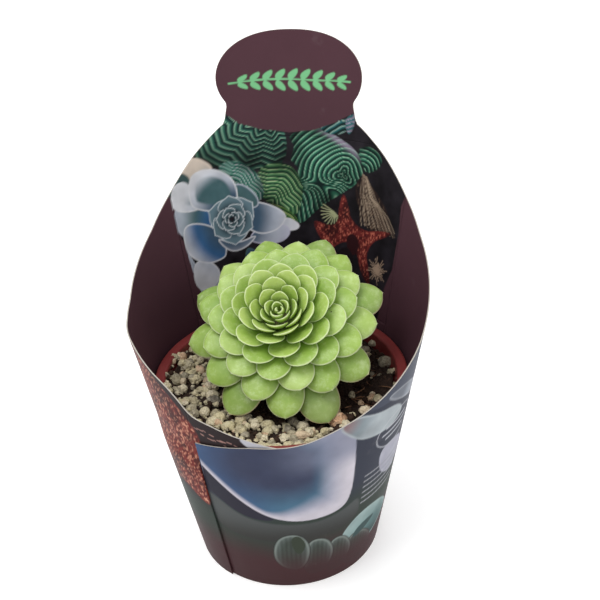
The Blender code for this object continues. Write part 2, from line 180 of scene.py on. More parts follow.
def tube_solid(rings, start, end):
    """Closed skin over equal rings (rows, points, 3) with one vertex at each end."""
    rows, count = rings.shape[:2]
    points = np.concatenate([rings.reshape(-1, 3), [start], [end]])
    first = np.arange(count)
    last = first + (rows - 1) * count
    low = np.stack([np.roll(first, -1), first, np.full(count, rows * count)], -1)
    high = np.stack([last, np.roll(last, -1), np.full(count, rows * count + 1)], -1)
    return points, [grid_faces(rows, count, True), np.concatenate([low, high])]


def join_solids(solids):
    """Closed shapes as one set of arrays: points, quads with triangles, each point's shape number."""
    sizes = [len(points) for points, faces in solids]
    starts = np.cumsum([0] + sizes[:-1])
    blocks = [
        np.concatenate([faces[kind] + start for (points, faces), start in zip(solids, starts)])
        for kind in (0, 1)
    ]
    owner = np.repeat(range(len(sizes)), sizes)
    return np.concatenate([points for points, faces in solids]), blocks, owner


def add_object(name, data):
    """Put new data in the scene as an object at the origin."""
    item = bpy.data.objects.new(name, data)
    bpy.context.scene.collection.objects.link(item)
    return item


def make_piece(name, points, faces, finishes, replaced=(), finish_of=None, flat=None, values=None):
    """One mesh from whole arrays: points in millimetres, faces as blocks of quads or triangles.

    finish_of gives each face's finish number, flat marks the faces with hard edges, and values
    holds one number or one colour for each point under the names the finishes read.
    """
    mesh = bpy.data.meshes.new(name)
    corners = np.concatenate([block.ravel() for block in faces])
    sizes = np.concatenate([np.full(len(block), block.shape[1]) for block in faces])
    mesh.vertices.add(len(points))
    mesh.vertices.foreach_set("co", (np.asarray(points) * MM).ravel())
    mesh.loops.add(len(corners))
    mesh.loops.foreach_set("vertex_index", corners.astype(np.int32))
    mesh.polygons.add(len(sizes))
    mesh.polygons.foreach_set("loop_start", np.concatenate([[0], np.cumsum(sizes)[:-1]]).astype(np.int32))
    smooth = np.ones(len(sizes), bool) if flat is None else ~flat
    mesh.polygons.foreach_set("use_smooth", smooth)
    for finish in finishes:
        mesh.materials.append(finish)
    if finish_of is not None:
        mesh.polygons.foreach_set("material_index", finish_of.astype(np.int32))
    mesh.update(calc_edges=True)
    for label, array in (values or {}).items():
        if array.ndim == 1:
            place = mesh.attributes.new(label, "FLOAT", "POINT")
            place.data.foreach_set("value", array.astype(np.float32))
        else:
            place = mesh.attributes.new(label, "FLOAT_COLOR", "POINT")
            if array.shape[1] == 3:
                array = np.concatenate([array, np.ones((len(array), 1))], 1)
            place.data.foreach_set("color", array.astype(np.float32).ravel())
    piece = add_object(name, mesh)
    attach(piece, "root")
    if replaced:
        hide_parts(*replaced)
    return piece


# ---------------------------------------------------------------- finishes

class Value:
    """One shader output that can stand in a sum: each operator adds a Math node."""

    def __init__(self, finish, output):
        self.finish = finish
        self.output = output

    def __add__(self, other):
        return self.finish.sum("ADD", self, other)

    def __sub__(self, other):
        return self.finish.sum("SUBTRACT", self, other)

    def __rsub__(self, other):
        return self.finish.sum("SUBTRACT", other, self)

    def __mul__(self, other):
        return self.finish.sum("MULTIPLY", self, other)

    __radd__ = __add__
    __rmul__ = __mul__


class Finish:
    """A material being made: one Principled shader and the nodes that feed it."""

    def __init__(self, name, **constants):
        self.material = bpy.data.materials.new(name)
        self.material.use_nodes = True
        self.tree = self.material.node_tree
        self.shader = self.tree.nodes["Principled BSDF"]
        for label, value in constants.items():
            self.shader.inputs[label.replace("_", " ")].default_value = value

    def node(self, kind, settings=None, inputs=None, output=0):
        """Add a node: its settings first, then the values or links of its sockets."""
        item = self.tree.nodes.new(kind)
        for label, value in (settings or {}).items():
            if label == "stops":
                self.set_stops(item.color_ramp, value)
            else:
                setattr(item, label, value)
        for socket, value in (inputs or {}).items():
            self.plug(item.inputs[socket], value)
        return Value(self, item.outputs[output])

    def set_stops(self, ramp, stops):
        """Place a colour ramp's stops from (position, colour) pairs."""
        while len(ramp.elements) < len(stops):
            ramp.elements.new(0.5)
        for element, (position, colour) in zip(ramp.elements, stops):
            element.position = position
            element.color = (*colour, 1.0)

    def plug(self, socket, value):
        """Give a socket a link, a number or a colour."""
        if isinstance(value, Value):
            self.tree.links.new(value.output, socket)
        elif np.ndim(value) == 1 and len(value) == 3 and socket.type == "RGBA":
            socket.default_value = (*value, 1.0)
        else:
            socket.default_value = value

    def sum(self, operation, first, second):
        """One Math node."""
        return self.node("ShaderNodeMath", {"operation": operation}, {0: first, 1: second})

    def mix(self, share, first, second, blend="MIX"):
        """Blend two colours by a share."""
        settings = {"data_type": "RGBA", "blend_type": blend}
        return self.node("ShaderNodeMix", settings, {0: share, 6: first, 7: second}, 2)

    def layer(self, colour, *layers):
        """Lay further colours over one, each a pair of its share and its colour."""
        for share, above in layers:
            colour = self.mix(share, colour, above)
        return colour

    def ease(self, value, low, high):
        """0 below low, 1 above high, smooth between."""
        settings = {"interpolation_type": "SMOOTHSTEP"}
        inputs = {"Value": value, "From Min": low, "From Max": high}
        return self.node("ShaderNodeMapRange", settings, inputs)

    def place(self):
        """Object coordinates in metres."""
        return self.node("ShaderNodeTexCoord", output=3)

    def noise(self, scale, detail=3.0, roughness=0.55, distortion=0.0):
        """Noise over the object's own coordinates; scale is in cells for a metre."""
        inputs = {
            "Vector": self.place(),
            "Scale": scale,
            "Detail": detail,
            "Roughness": roughness,
            "Distortion": distortion,
        }
        return self.node("ShaderNodeTexNoise", None, inputs)

    def cells(self, scale):
        """Distance to scattered points over the object's own coordinates."""
        return self.node("ShaderNodeTexVoronoi", None, {"Vector": self.place(), "Scale": scale})

    def stored(self, label, output="Color"):
        """A value kept on the piece's points."""
        return self.node("ShaderNodeAttribute", {"attribute_name": label}, None, output)

    def split(self, colour, channel):
        """One channel of a colour."""
        return self.node("ShaderNodeSeparateColor", None, {0: colour}, channel)

    def finish(self, colour, roughness, height, strength, depth):
        """Feed the shader: colour, roughness and a bump height."""
        bump = self.node("ShaderNodeBump", None, {"Strength": strength, "Distance": depth, "Height": height})
        for socket, value in (("Base Color", colour), ("Roughness", roughness), ("Normal", bump)):
            self.plug(self.shader.inputs[socket], value)
        return self.material


def leaf_finish():
    """Waxy succulent leaf: mottled green, pale rim, chalky bloom, a few dark specks, and painted shade
    darkening each leaf's base.
    """
    paint = Finish(
        "leaf_green",
        Subsurface_Weight=0.08,
        Subsurface_Scale=0.003,
        Subsurface_Radius=(0.7, 1.0, 0.25),
        Specular_IOR_Level=0.45,
    )
    place = paint.stored("leaf_place")
    along = paint.split(place, 0)
    age = paint.split(place, 2)
    chance = paint.stored("leaf_place", "Alpha")
    margin = paint.stored("leaf_margin", "Fac")
    patches = paint.noise(260.0, 4.0, 0.6)
    fine = paint.noise(1500.0, 3.0, 0.6)
    young = paint.mix(patches, tint(158, 184, 78), tint(188, 206, 118))
    grown = paint.mix(patches, tint(130, 162, 60), tint(168, 194, 100))
    oldest = paint.mix(patches, tint(126, 152, 84), tint(150, 172, 104))
    # Painted shade: each leaf's base, where the leaf above covers it, is laid in darker, more saturated
    # green, stronger on older leaves.
    painted_base_shade = paint.ease(along + (patches - 0.5) * 0.25, 0.92, 0.5)
    painted_base_shade = painted_base_shade * (paint.ease(age, 0.05, 0.45) * 0.35 + 0.35)
    bloom = paint.ease(fine * 0.5 + patches + along * 0.35, 1.0, 1.4) * 0.36
    rim = paint.ease(margin + (patches - 0.5) * 0.7 + (1.0 - age) * 0.22, 0.8, 0.1)
    tan = paint.ease(margin + (fine - 0.5) * 0.8, 0.55, 0.0) * paint.ease(age, 0.86, 0.98)
    specks = paint.ease(paint.cells(160.0), 0.09, 0.05) * paint.ease(patches, 0.5, 0.62)
    colour = paint.layer(
        young,
        (paint.ease(age, 0.15, 0.6), grown),
        (paint.ease(age, 0.88, 1.0) * 0.6, oldest),
        (paint.ease(chance, 0.4, 1.0) * 0.3, tint(196, 214, 140)),
        (paint.ease(chance, 0.5, 0.0) * 0.4, tint(122, 156, 58)),
        # painted shade at each leaf's base
        (painted_base_shade, tint(106, 148, 40)),
        (bloom, tint(206, 222, 182)),
        (rim * 0.8, tint(204, 216, 168)),
        (tan * 0.8, tint(194, 160, 128)),
        (specks * paint.ease(chance, 0.55, 0.7), tint(70, 74, 36)),
    )
    rough = 0.34 + patches * 0.16 + bloom * 0.3
    height = patches * 0.5 + fine * 0.18
    return paint.finish(colour, rough, height, 0.35, 0.0006)


def terracotta_finish():
    """Moulded terracotta-red plastic: slight flow marks, dust, worn pale edge."""
    paint = Finish("terracotta_plastic", Specular_IOR_Level=0.5)
    dust = paint.noise(90.0, 5.0, 0.65)
    grain = paint.noise(2600.0, 2.0)
    colour = paint.mix(dust, tint(112, 36, 37), tint(142, 56, 53))
    specks = paint.ease(paint.noise(520.0, 4.0, 0.7), 0.58, 0.7)
    colour = paint.mix(specks * 0.35, colour, tint(92, 56, 44))
    return paint.finish(colour, 0.36 + dust * 0.25, grain + dust * 0.6, 0.25, 0.0003)


def soil_finish():
    """Damp dark peat: near-black crumbs with brown fibres and pale specks."""
    paint = Finish("peat_soil", Specular_IOR_Level=0.25)
    clods = paint.noise(260.0, 6.0, 0.68)
    grains = paint.cells(900.0)
    brown = paint.ease(paint.noise(700.0, 4.0, 0.7), 0.56, 0.68)
    pale = paint.ease(paint.cells(420.0), 0.16, 0.08)
    colour = paint.layer(
        tint(18, 12, 10),
        (clods, tint(62, 45, 36)),
        (brown * 0.6, tint(96, 68, 50)),
        (pale * 0.45, tint(150, 132, 108)),
    )
    return paint.finish(colour, 0.72 + clods * 0.25, clods + grains * 0.5, 0.9, 0.001)


def pumice_finish():
    """Rough pumice and lava grit: beige with grey pits, warm or grey by stone."""
    paint = Finish("pumice", Specular_IOR_Level=0.25)
    kind = paint.stored("stone_kind", "Fac")
    lumps = paint.noise(420.0, 5.0, 0.7)
    pits = paint.cells(1100.0)
    colour = paint.node(
        "ShaderNodeValToRGB",
        {"stops": (
            (0.0, tint(104, 98, 92)),
            (0.25, tint(168, 158, 134)),
            (0.55, tint(204, 192, 154)),
            (0.85, tint(222, 210, 182)),
            (1.0, tint(204, 152, 114)),
        )},
        {0: kind},
    )
    colour = paint.layer(
        colour,
        (paint.ease(lumps, 0.45, 0.7) * 0.5, tint(232, 222, 194)),
        (paint.ease(lumps, 0.45, 0.28) * 0.55, tint(104, 88, 66)),
        (paint.ease(pits, 0.24, 0.08) * 0.5, tint(72, 60, 48)),
    )
    return paint.finish(colour, 0.88, lumps * 1.2 + pits * 0.6, 0.8, 0.0012)


def bark_finish():
    """Corky stem: grey-brown over green with cross rings."""
    paint = Finish("stem_bark", Specular_IOR_Level=0.3)
    streaks = paint.noise(300.0, 5.0, 0.65, 0.6)
    colour = paint.mix(streaks, tint(92, 84, 52), tint(150, 142, 104))
    colour = paint.mix(paint.ease(streaks, 0.6, 0.4) * 0.5, colour, tint(98, 116, 60))
    return paint.finish(colour, 0.75, streaks, 0.7, 0.001)


def crumb_finish(name, dark, light):
    """Loose crumbs and fibres of bark in two browns."""
    paint = Finish(name, Specular_IOR_Level=0.2)
    streaks = paint.noise(800.0, 4.0, 0.7)
    return paint.finish(paint.mix(streaks, dark, light), 0.9, streaks, 0.6, 0.0005)


def card_finish(name, label, depth):
    """Matt printed card: ink colours are kept on the points and deepened by a share of black."""
    paint = Finish(name, Specular_IOR_Level=0.05)
    ink = paint.mix(depth, paint.stored(label), (0.0, 0.0, 0.0, 1.0))
    fibre = paint.noise(3200.0, 2.0, 0.6)
    wear = paint.noise(60.0, 4.0, 0.6)
    colour = paint.mix(fibre * 0.02, ink, tint(150, 140, 140))
    colour = paint.mix(paint.ease(wear, 0.62, 0.8) * 0.04, colour, tint(210, 200, 200))
    return paint.finish(colour, 0.4 + wear * 0.12, fibre, 0.12, 0.0002)


def paper_core_finish():
    """Cut edge of the card: cream paper fibres."""
    paint = Finish("card_core", Specular_IOR_Level=0.3)
    fibre = paint.noise(2400.0, 3.0, 0.7)
    colour = paint.mix(fibre, tint(150, 144, 136), tint(196, 190, 180))
    return paint.finish(colour, 0.85, fibre, 0.4, 0.0002)


# ---------------------------------------------------------------- plant

def crown_frame():
    """Rotation and place of the tilted crown; the youngest leaf's tip is its origin."""
    tilt = math.radians(CROWN_TILT)
    hang = CROWN_FALL - CROWN_DISH
    rise = ROSETTE_RADIUS * math.sin(tilt) + hang * math.cos(tilt) + LEAF_CLEARANCE
    lean = Vector((*direction_to_xy(CROWN_TILT_DIRECTION, 1.0), 0.0))
    turn = Matrix.Rotation(tilt, 3, Vector((0.0, 0.0, 1.0)).cross(lean))
    return np.array(turn), np.array((*CROWN_MIDDLE, POT_HEIGHT - SOIL_DROP + rise))


def leaf_controls(age, reach):
    """Foot, bend and tip of a leaf's middle line in the crown's half plane (radius, height).

    The foot moves out and down the stem with age. The tips lie in a shallow dish at first and
    fall away with the 1.2 power of age; the leaves just before a third of the way stand up to
    LEDGE_LIFT higher, which leaves a step. Young leaves bow upwards, old ones arch over.
    """
    foot_height = -max(CROWN_START + CROWN_LENGTH * age, 5.0 + 10.7 * age)
    foot = np.array((0.5 + 3.6 * min(1.0, age / 0.2) ** 0.7, foot_height))
    ripe = age ** LEAF_CROWDING
    if ripe < CROWN_DISH_AGE:
        share = ripe / CROWN_DISH_AGE
        height = CROWN_DISH * share * (2.0 - share)
    else:
        fallen = (ripe - CROWN_DISH_AGE) / (1.0 - CROWN_DISH_AGE)
        height = CROWN_DISH - CROWN_FALL * fallen ** CROWN_FALL_POWER
    height += LEDGE_LIFT * float(smoothstep(0.14, 0.26, age) * smoothstep(0.37, 0.31, age))
    tip = np.array((0.8 + (ROSETTE_RADIUS - 0.8) * ripe ** LEAF_SPREAD, height)) * reach
    along = tip - foot
    bow = 0.16 - 0.4 * float(smoothstep(0.1, 0.9, age))
    bend = foot + along * 0.55 + np.array((along[1], -along[0])) * bow
    return foot, bend, tip


def leaf_outline(along, age):
    """Half breadth from 0 to 1: narrow foot, widest at two thirds, blunt end with a small point."""
    widest = 0.7
    body = 0.16 + 0.84 * np.sin(0.5 * np.pi * np.minimum(along / widest, 1.0)) ** 1.7
    past = np.clip((along - widest) / (0.985 - widest), 0.0, 1.0)
    round_end = (1.0 - past ** (2.2 + 0.5 * age)) ** (0.5 + 0.34 * (1.0 - age) ** 1.3)
    nib = (0.02 + 0.05 * (1.0 - age)) * np.clip((1.0 - along) / 0.1, 0.0, 1.0) ** 0.8
    end = (round_end ** 4 + nib ** 4) ** 0.25
    return np.where(along < widest, body, end)


def leaf_blade(number, stations, around):
    """One closed leaf blade, counted from the youngest, with its place and margin values.

    Along the leaf a quadratic curve runs foot, bend, tip. Across it, half turns of a flattened
    ellipse give the upper and lower face, and the breadth wraps about the crown's axis. The
    rim is lifted on young leaves and lowered on old ones, so the face goes from cup to crest.
    """
    age = number / (LEAF_TOTAL - 1)
    chance = np.random.default_rng(900 + number).random(6)
    turn = math.radians(GOLDEN_ANGLE * number + LEAF_PHASE) + (chance[0] - 0.5) * 0.06
    longer = 0.03 * float(smoothstep(0.6, 1.0, age)) * abs(math.sin(turn)) ** 2
    foot, bend, tip = leaf_controls(age, 1.0 + longer + (chance[1] - 0.5) * 0.03 * min(1.0, age * 3.0))
    step = np.arange(stations - 1) / (stations - 1)
    along = (1.0 - (1.0 - step) ** 1.7)[:, None]
    angle = full_circle(around)[None, :]
    back = 1.0 - along
    centre = foot * (back ** 2)[..., None] + bend * (2.0 * back * along)[..., None]
    centre = centre + tip * (along ** 2)[..., None]
    slope = (bend - foot) * back[..., None] + (tip - bend) * along[..., None]
    slope /= np.linalg.norm(slope, axis=-1, keepdims=True)
    normal = np.stack([-slope[..., 1], slope[..., 0]], -1)
    width = LEAF_WIDTH * (0.3 + 0.74 * age ** 0.5) * (1.0 + (chance[2] - 0.5) * 0.08)
    half = 0.5 * width * leaf_outline(along, age)
    across = -np.cos(angle)
    thickness = LEAF_THICKNESS * (0.6 + 0.4 * age)
    swell = thickness * (0.3 + 0.7 * np.sin(np.pi * np.minimum(along, 0.92) / 1.2) ** 2)
    swell = swell * np.clip((1.0 - along) / 0.06, 0.0, 1.0) ** 0.5
    lift = 0.5 * swell * np.sign(np.sin(angle)) * np.abs(np.sin(angle)) ** 1.25
    cup = (0.24 - 0.5 * age ** 0.7) * smoothstep(0.25, 0.8, along)
    ripple = cloud(along * 2.2 + number, across * 1.3, 4.0, 2)
    lift = lift + cup * half * across ** 2 + 0.16 * age * ripple
    radius = centre[..., 0] + normal[..., 0] * lift
    height = centre[..., 1] + normal[..., 1] * lift
    spread = turn + across * half / np.maximum(centre[..., 0], half * 0.72)
    spread = spread + (chance[3] - 0.5) * 0.05 * along
    rings = np.stack([radius * np.cos(spread), radius * np.sin(spread), height], -1)
    end = np.array((tip[0] * math.cos(turn), tip[0] * math.sin(turn), tip[1]))
    points, faces = tube_solid(rings, rings[0].mean(0), end)
    length = np.linalg.norm(tip - foot)
    steep = np.gradient(half[:, 0], along[:, 0] * length)[:, None]
    margin = half * (1.0 - np.abs(across)) / np.sqrt(1.0 + steep ** 2)
    place = np.stack(np.broadcast_arrays(along, across * 0.5 + 0.5, age, chance[4]), -1).reshape(-1, 4)
    ends = np.array([(0.0, 0.5, age, chance[4]), (1.0, 0.5, age, chance[4])])
    values = {
        "leaf_place": np.concatenate([place, ends]),
        "leaf_margin": np.concatenate([margin.ravel(), [1.0, 0.0]]),
    }
    return points, faces, values


def stand_on_crown(points):
    """Move points from the crown's frame to the pot's."""
    turn, middle = crown_frame()
    return points @ turn.T + middle


def build_leaves(green):
    """Every outer leaf as its own piece, and the youngest ones together as the heart."""
    for number in range(HEART_LEAVES, LEAF_TOTAL):
        points, faces, values = leaf_blade(number, stations=34, around=36)
        label = f"{number - HEART_LEAVES + 1:02d}"
        make_piece(
            f"leaf_blade_{label}", stand_on_crown(points), faces, [green],
            (f"leaf_{label}",), values=values,
        )
    blades = [leaf_blade(number, stations=24, around=28) for number in range(HEART_LEAVES)]
    points, faces, owner = join_solids([blade[:2] for blade in blades])
    values = {label: np.concatenate([blade[2][label] for blade in blades]) for label in blades[0][2]}
    make_piece("leaf_heart", stand_on_crown(points), faces, [green], ("heart",), values=values)


def build_stem(bark):
    """Stem from the soil to under the heart: a bent round tube with rings of leaf scars."""
    turn, middle = crown_frame()
    axis = turn[:, 2]
    foot = np.array((*STEM_FOOT, POT_HEIGHT - SOIL_DROP - STEM_SOCKET_DEPTH))
    shoulder = middle - axis * 25.2
    top = middle - axis * 9.3
    bend = np.array((foot[0], foot[1], (foot[2] + shoulder[2]) / 2.0))
    along = np.linspace(0.0, 1.0, 46)[:, None]
    path = foot * (1.0 - along) ** 2 + bend * 2.0 * (1.0 - along) * along + shoulder * along ** 2
    rest = np.linspace(0.0, 1.0, 12)[1:, None]
    path = np.concatenate([path, shoulder + (top - shoulder) * rest])
    heading = np.gradient(path, axis=0)
    heading /= np.linalg.norm(heading, axis=1, keepdims=True)
    side = np.cross(heading, (1.0, 0.0, 0.0))
    side /= np.linalg.norm(side, axis=1, keepdims=True)
    other = np.cross(heading, side)
    angle = full_circle(40)[None, :, None]
    reach = (path[:, 2] - path[0, 2])[:, None]
    scars = 0.16 * np.sin(reach * 1.9 + 2.0 * angle[..., 0])
    scars = scars + 0.12 * cloud(reach * 0.8, angle[..., 0] * 2.0)
    radius = (STEM_RADIUS + scars)[..., None]
    rings = path[:, None] + radius * (side[:, None] * np.cos(angle) + other[:, None] * np.sin(angle))
    points, faces = tube_solid(rings, path[0], path[-1])
    make_piece("stem_bark_tube", points, faces, [bark], ("stem",))


# ---------------------------------------------------------------- pot

def rim_taper():
    """How much smaller the rim's foot is in radius than its top."""
    return (POT_RIM_RADIUS - POT_BASE_RADIUS) * RIM_DEPTH / POT_HEIGHT


def wall_radius(height):
    """Outer radius of the pot's tapered wall."""
    top = POT_RIM_RADIUS - RIM_LIP - rim_taper() * 0.5
    return POT_BASE_RADIUS + (top - POT_BASE_RADIUS) * height / POT_HEIGHT


def inner_radius(height):
    """Inner radius of the pot's tapered wall."""
    return wall_radius(height) - POT_WALL


def arc(centre_r, centre_z, radius, start, end, count):
    """Points of a quarter round in a profile, angles in degrees."""
    angle = np.radians(np.linspace(start, end, count))
    return np.stack([centre_r + radius * np.cos(angle), centre_z + radius * np.sin(angle)], -1)


def wall_line(radius_at, heights):
    """Profile points of a wall at several heights."""
    return np.stack([radius_at(heights), heights], -1)


def build_pot(plastic):
    """Tub turned from one profile: foot ring, tapered wall, rolled rim, stepped inner wall."""
    rim_foot = POT_HEIGHT - RIM_DEPTH
    outer_rim = POT_RIM_RADIUS - rim_taper()
    inner_top = inner_radius(POT_HEIGHT)
    profile = np.concatenate([
        np.array([(12.0, 0.0), (24.0, 0.0), (33.0, 0.0)]),
        arc(POT_BASE_RADIUS - BASE_ROUND, BASE_ROUND, BASE_ROUND, -90.0, -8.0, 7),
        wall_line(wall_radius, np.linspace(4.0, rim_foot - 1.0, 16)),
        np.array([(wall_radius(rim_foot) + 0.3, rim_foot - 0.1)]),
        arc(outer_rim - 0.7, rim_foot + 0.7, 0.7, -90.0, 0.0, 5),
        arc(POT_RIM_RADIUS - 1.2, POT_HEIGHT - 1.2, 1.2, 0.0, 90.0, 9),
        arc(inner_top + 1.1, POT_HEIGHT - 1.1, 1.1, 90.0, 180.0, 8),
        np.array([(inner_top - 0.1, POT_HEIGHT - 3.5), (inner_radius(POT_HEIGHT - 7.0), POT_HEIGHT - 7.0)]),
        np.array([(inner_radius(POT_HEIGHT - 8.0) - 0.25, POT_HEIGHT - 8.0)]),
        wall_line(inner_radius, np.linspace(60.0, 6.0, 12)),
        arc(inner_radius(POT_FLOOR) - BASE_ROUND, POT_FLOOR + BASE_ROUND, BASE_ROUND, 0.0, -90.0, 6),
        np.array([(24.0, POT_FLOOR), (12.0, POT_FLOOR)]),
    ])
    angle = full_circle(224)[None, :]
    radius = profile[:, :1]
    rings = np.stack(np.broadcast_arrays(radius * np.cos(angle), radius * np.sin(angle), profile[:, 1:]), -1)
    points, faces = tube_solid(rings, (0.0, 0.0, 0.0), (0.0, 0.0, POT_FLOOR))
    pot = make_piece("pot_tub", points, faces, [plastic], ("pot",))
    step = full_circle(32)
    circle = DRAIN_HOLE_RADIUS * np.stack([np.cos(step), np.sin(step)], -1)
    holes = []
    for turn in full_circle(DRAIN_HOLES):
        ring = circle + DRAIN_RING_RADIUS * np.array((math.cos(turn), math.sin(turn)))
        low, high = [np.insert(ring, 2, level, 1) for level in (-3.0, 6.0)]
        holes.append(tube_solid(np.stack([low, high]), low.mean(0), high.mean(0)))
    cut_away(pot, holes)


def cut_away(piece, solids):
    """Subtract solids from a piece and keep the result as its mesh, hard-edged at the cuts."""
    points, blocks, owner = join_solids(solids)
    mesh = bpy.data.meshes.new("drain_holes")
    mesh.from_pydata((points * MM).tolist(), [], [face for block in blocks for face in block.tolist()])
    cutter = add_object("drain_holes", mesh)
    cut = piece.modifiers.new("drain_holes", "BOOLEAN")
    cut.operation = "DIFFERENCE"
    cut.solver = "EXACT"
    cut.object = cutter
    bpy.context.view_layer.update()
    result = bpy.data.meshes.new_from_object(piece.evaluated_get(bpy.context.evaluated_depsgraph_get()))
    piece.modifiers.remove(cut)
    piece.data = result
    bpy.data.objects.remove(cutter)
    result.set_sharp_from_angle(angle=math.radians(40.0))


# ---------------------------------------------------------------- soil and stones

def soil_level(x, y):
    """Soil surface: low swells, a bank towards the wall, and a steeper one at the left and front."""
    swell = 0.8 * np.sin(x * 0.13 + 0.6) * np.cos(y * 0.11 - 0.4)
    direction = np.degrees(np.arctan2(x, -y))
    radius = np.hypot(x, y)
    heaped = 0.2 + 0.8 * smoothstep(70.0, 20.0, direction) * smoothstep(-179.0, -150.0, direction)
    bank = 2.2 * smoothstep(20.0, 46.0, radius) + 3.4 * heaped * smoothstep(42.5, 48.4, radius)
    return POT_HEIGHT - SOIL_DROP + swell + bank


def on_clod(x, y, wide, deep):
    """Height share of the bare clod at the right: a blunt bell, 1 at its middle."""
    return np.exp(-(((x - 41.0) / wide) ** 2 + ((y + 6.0) / deep) ** 2) ** 1.5)


def build_soil(earth):
    """Soil filling the pot: a round surface with three sizes of noise, closed by sides and a floor."""
    edge = inner_radius(POT_HEIGHT - SOIL_DROP) - 0.6
    radius = np.linspace(0.0, 1.0, 130)[1:, None] * edge
    angle = full_circle(300)[None, :]
    x = radius * np.cos(angle)
    y = radius * np.sin(angle)
    height = soil_level(x, y) + 0.9 * cloud(x * 0.22, y * 0.22, 1.0, 2)
    height = height + 0.55 * np.abs(cloud(x * 0.7, y * 0.7, 5.0, 3))
    height = height + on_clod(x, y, 5.5, 6.5) * (3.6 + 1.3 * cloud(x * 0.9, y * 0.9, 9.0, 3))
    height = height - 2.0 * smoothstep(5.4, 4.0, np.hypot(x - STEM_FOOT[0], y - STEM_FOOT[1]))
    top = np.stack([x, y, height], -1)
    wall = []
    for level in (POT_HEIGHT - SOIL_DROP - 6.0, 30.0, POT_FLOOR + 1.9, POT_FLOOR + 0.3):
        reach = inner_radius(level) - (0.6 if level > 3.0 else 2.2)
        ring = np.broadcast_arrays(reach * np.cos(angle), reach * np.sin(angle), level)
        wall.append(np.stack(ring, -1)[0])
    rings = np.concatenate([top, np.stack(wall)])[::-1]
    points, faces = tube_solid(rings, (0.0, 0.0, POT_FLOOR + 0.3), (0.0, 0.0, float(soil_level(0.0, 0.0))))
    make_piece("soil_bed", points, faces, [earth], ("soil",))


def stone_lump(centre, size, seed, rows, columns, flatness=0.8, rough=0.13):
    """Closed pebble: a globe of rows and columns pushed in and out by noise, a little flat."""
    polar = (np.pi * np.arange(1, rows) / rows)[:, None]
    angle = full_circle(columns)[None, :]
    sphere = np.stack(np.broadcast_arrays(
        np.sin(polar) * np.cos(angle), np.sin(polar) * np.sin(angle), -np.cos(polar)), -1)
    poles = np.array([(0.0, 0.0, -1.0), (0.0, 0.0, 1.0)])
    shifts = np.random.default_rng(seed).random(6) * 9.0
    stretch = 1.0 + (np.random.default_rng(seed + 5).random(3) - 0.5) * 0.34

    def push(unit):
        jitter = cloud(unit[..., 0] + shifts[3], unit[..., 1], unit[..., 2], 1)[..., None] * 0.4
        blunt = 0.06 * np.linalg.norm(np.round(unit * 1.6 + jitter), axis=-1)
        wave = cloud(*np.moveaxis(unit * 1.7 + shifts[:3], -1, 0), 4)
        reach = size * (0.96 + rough * wave - 0.6 * blunt)
        return centre + unit * reach[..., None] * stretch * (1.0, 1.0, flatness)

    return tube_solid(push(sphere), push(poles[:1])[0], push(poles[1:])[0])


def build_stones(pumice):
    """The twelve large stones, each in its solid's place."""
    kinds = (0.35, 0.6, 0.2, 0.75, 0.5, 0.7, 0.45, 0.15, 0.65, 0.85, 0.95, 0.55)
    for i, kind in enumerate(kinds):
        name = f"stone_{i + 1:02d}"
        low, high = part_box(name)
        centre = np.array((low + high) / 2.0) / MM
        size = max(high.x - low.x, high.y - low.y) / MM / 2.0
        points, faces = stone_lump(centre, size, 40 + i, rows=36, columns=48)
        values = {"stone_kind": np.full(len(points), kind)}
        make_piece(f"pumice_{i + 1:02d}", points, faces, [pumice], (name,), values=values)


# Loose stones in millimetres: x, y, radius, and kind from grey (0) over beige to tan (1)
LOOSE_STONES = (
    (-33.4, -1, 2.1, 0.4), (-27.8, -8.6, 3, 0.05), (-33.7, -23.3, 2.2, 0.5), (-21.8, -27.1, 2.7, 0.55),
    (-17.1, -23.1, 2.8, 0.5), (-17.5, -30, 1.7, 0.8), (-6.6, -31.1, 2.5, 0.5), (-8.1, -26.5, 1.8, 0.4),
    (-8.2, -35.9, 2.3, 0.8), (-3.8, -28.9, 2.3, 0.3), (6.7, -36.2, 3.3, 0.9), (10, -32.2, 2.5, 0.75),
    (7.1, -28.1, 1.6, 0.6), (13.2, -36.8, 1.7, 0.6), (21.3, -27.6, 3.9, 0.97), (44.2, 9.8, 3, 0.15),
    (-44, 3.7, 1.9, 0.35), (-45.9, -4.6, 1.8, 0.6), (-41.5, -9.9, 2, 0.5), (-31.5, -29.3, 1.7, 0.5),
    (-24.3, -17.7, 1.8, 0.3), (-21.3, -34, 1.7, 0.5), (0.8, -30, 1.7, 0.4), (27, -24.9, 1.6, 0.6),
    (45.8, 2.1, 1.9, 0.3), (41, 0.5, 1.7, 0.2), (-37.2, 11, 1.7, 0.35), (-30.8, -15.1, 1.6, 0.3),
    (-14, -37.8, 1.7, 0.7), (-19.7, -37.9, 1.5, 0.6), (0.9, -39.9, 1.7, 0.75), (22.8, -32.2, 1.7, 0.8),
    (-16.5, -42.5, 2.4, 0.6), (-2.6, -45, 2.3, 0.8), (3.6, -43.6, 2.2, 0.5), (-20.4, -40.6, 2, 0.45),
    (16.2, -42.6, 2.3, 0.7), (21, -38.8, 2.5, 0.55), (-30.2, -36, 2.3, 0.65), (-36.6, -29.2, 2.3, 0.5),
    (-43.6, -19.6, 2.2, 0.7), (-45.6, -11.4, 2.2, 0.35), (26.2, -36, 2.2, 0.8), (31, -31.6, 1.9, 0.4),
)


def scattered(seed, count, inner, outer):
    """Chance places on the soil ring between two radii: x, y, direction from the front, chance."""
    chance = np.random.default_rng(seed).random((count, 6))
    radius = np.sqrt(inner ** 2 + (outer ** 2 - inner ** 2) * chance[:, 0])
    direction = chance[:, 1] * 360.0 - 180.0
    place = np.radians(direction)
    return radius * np.sin(place), -radius * np.cos(place), direction, chance[:, 2:]


def resting_lump(x, y, size, sunk, seed, *shape):
    """A lump on the soil at x and y, its middle a given height above the surface."""
    return stone_lump(np.array((x, y, float(soil_level(x, y)) + sunk)), size, seed, *shape)


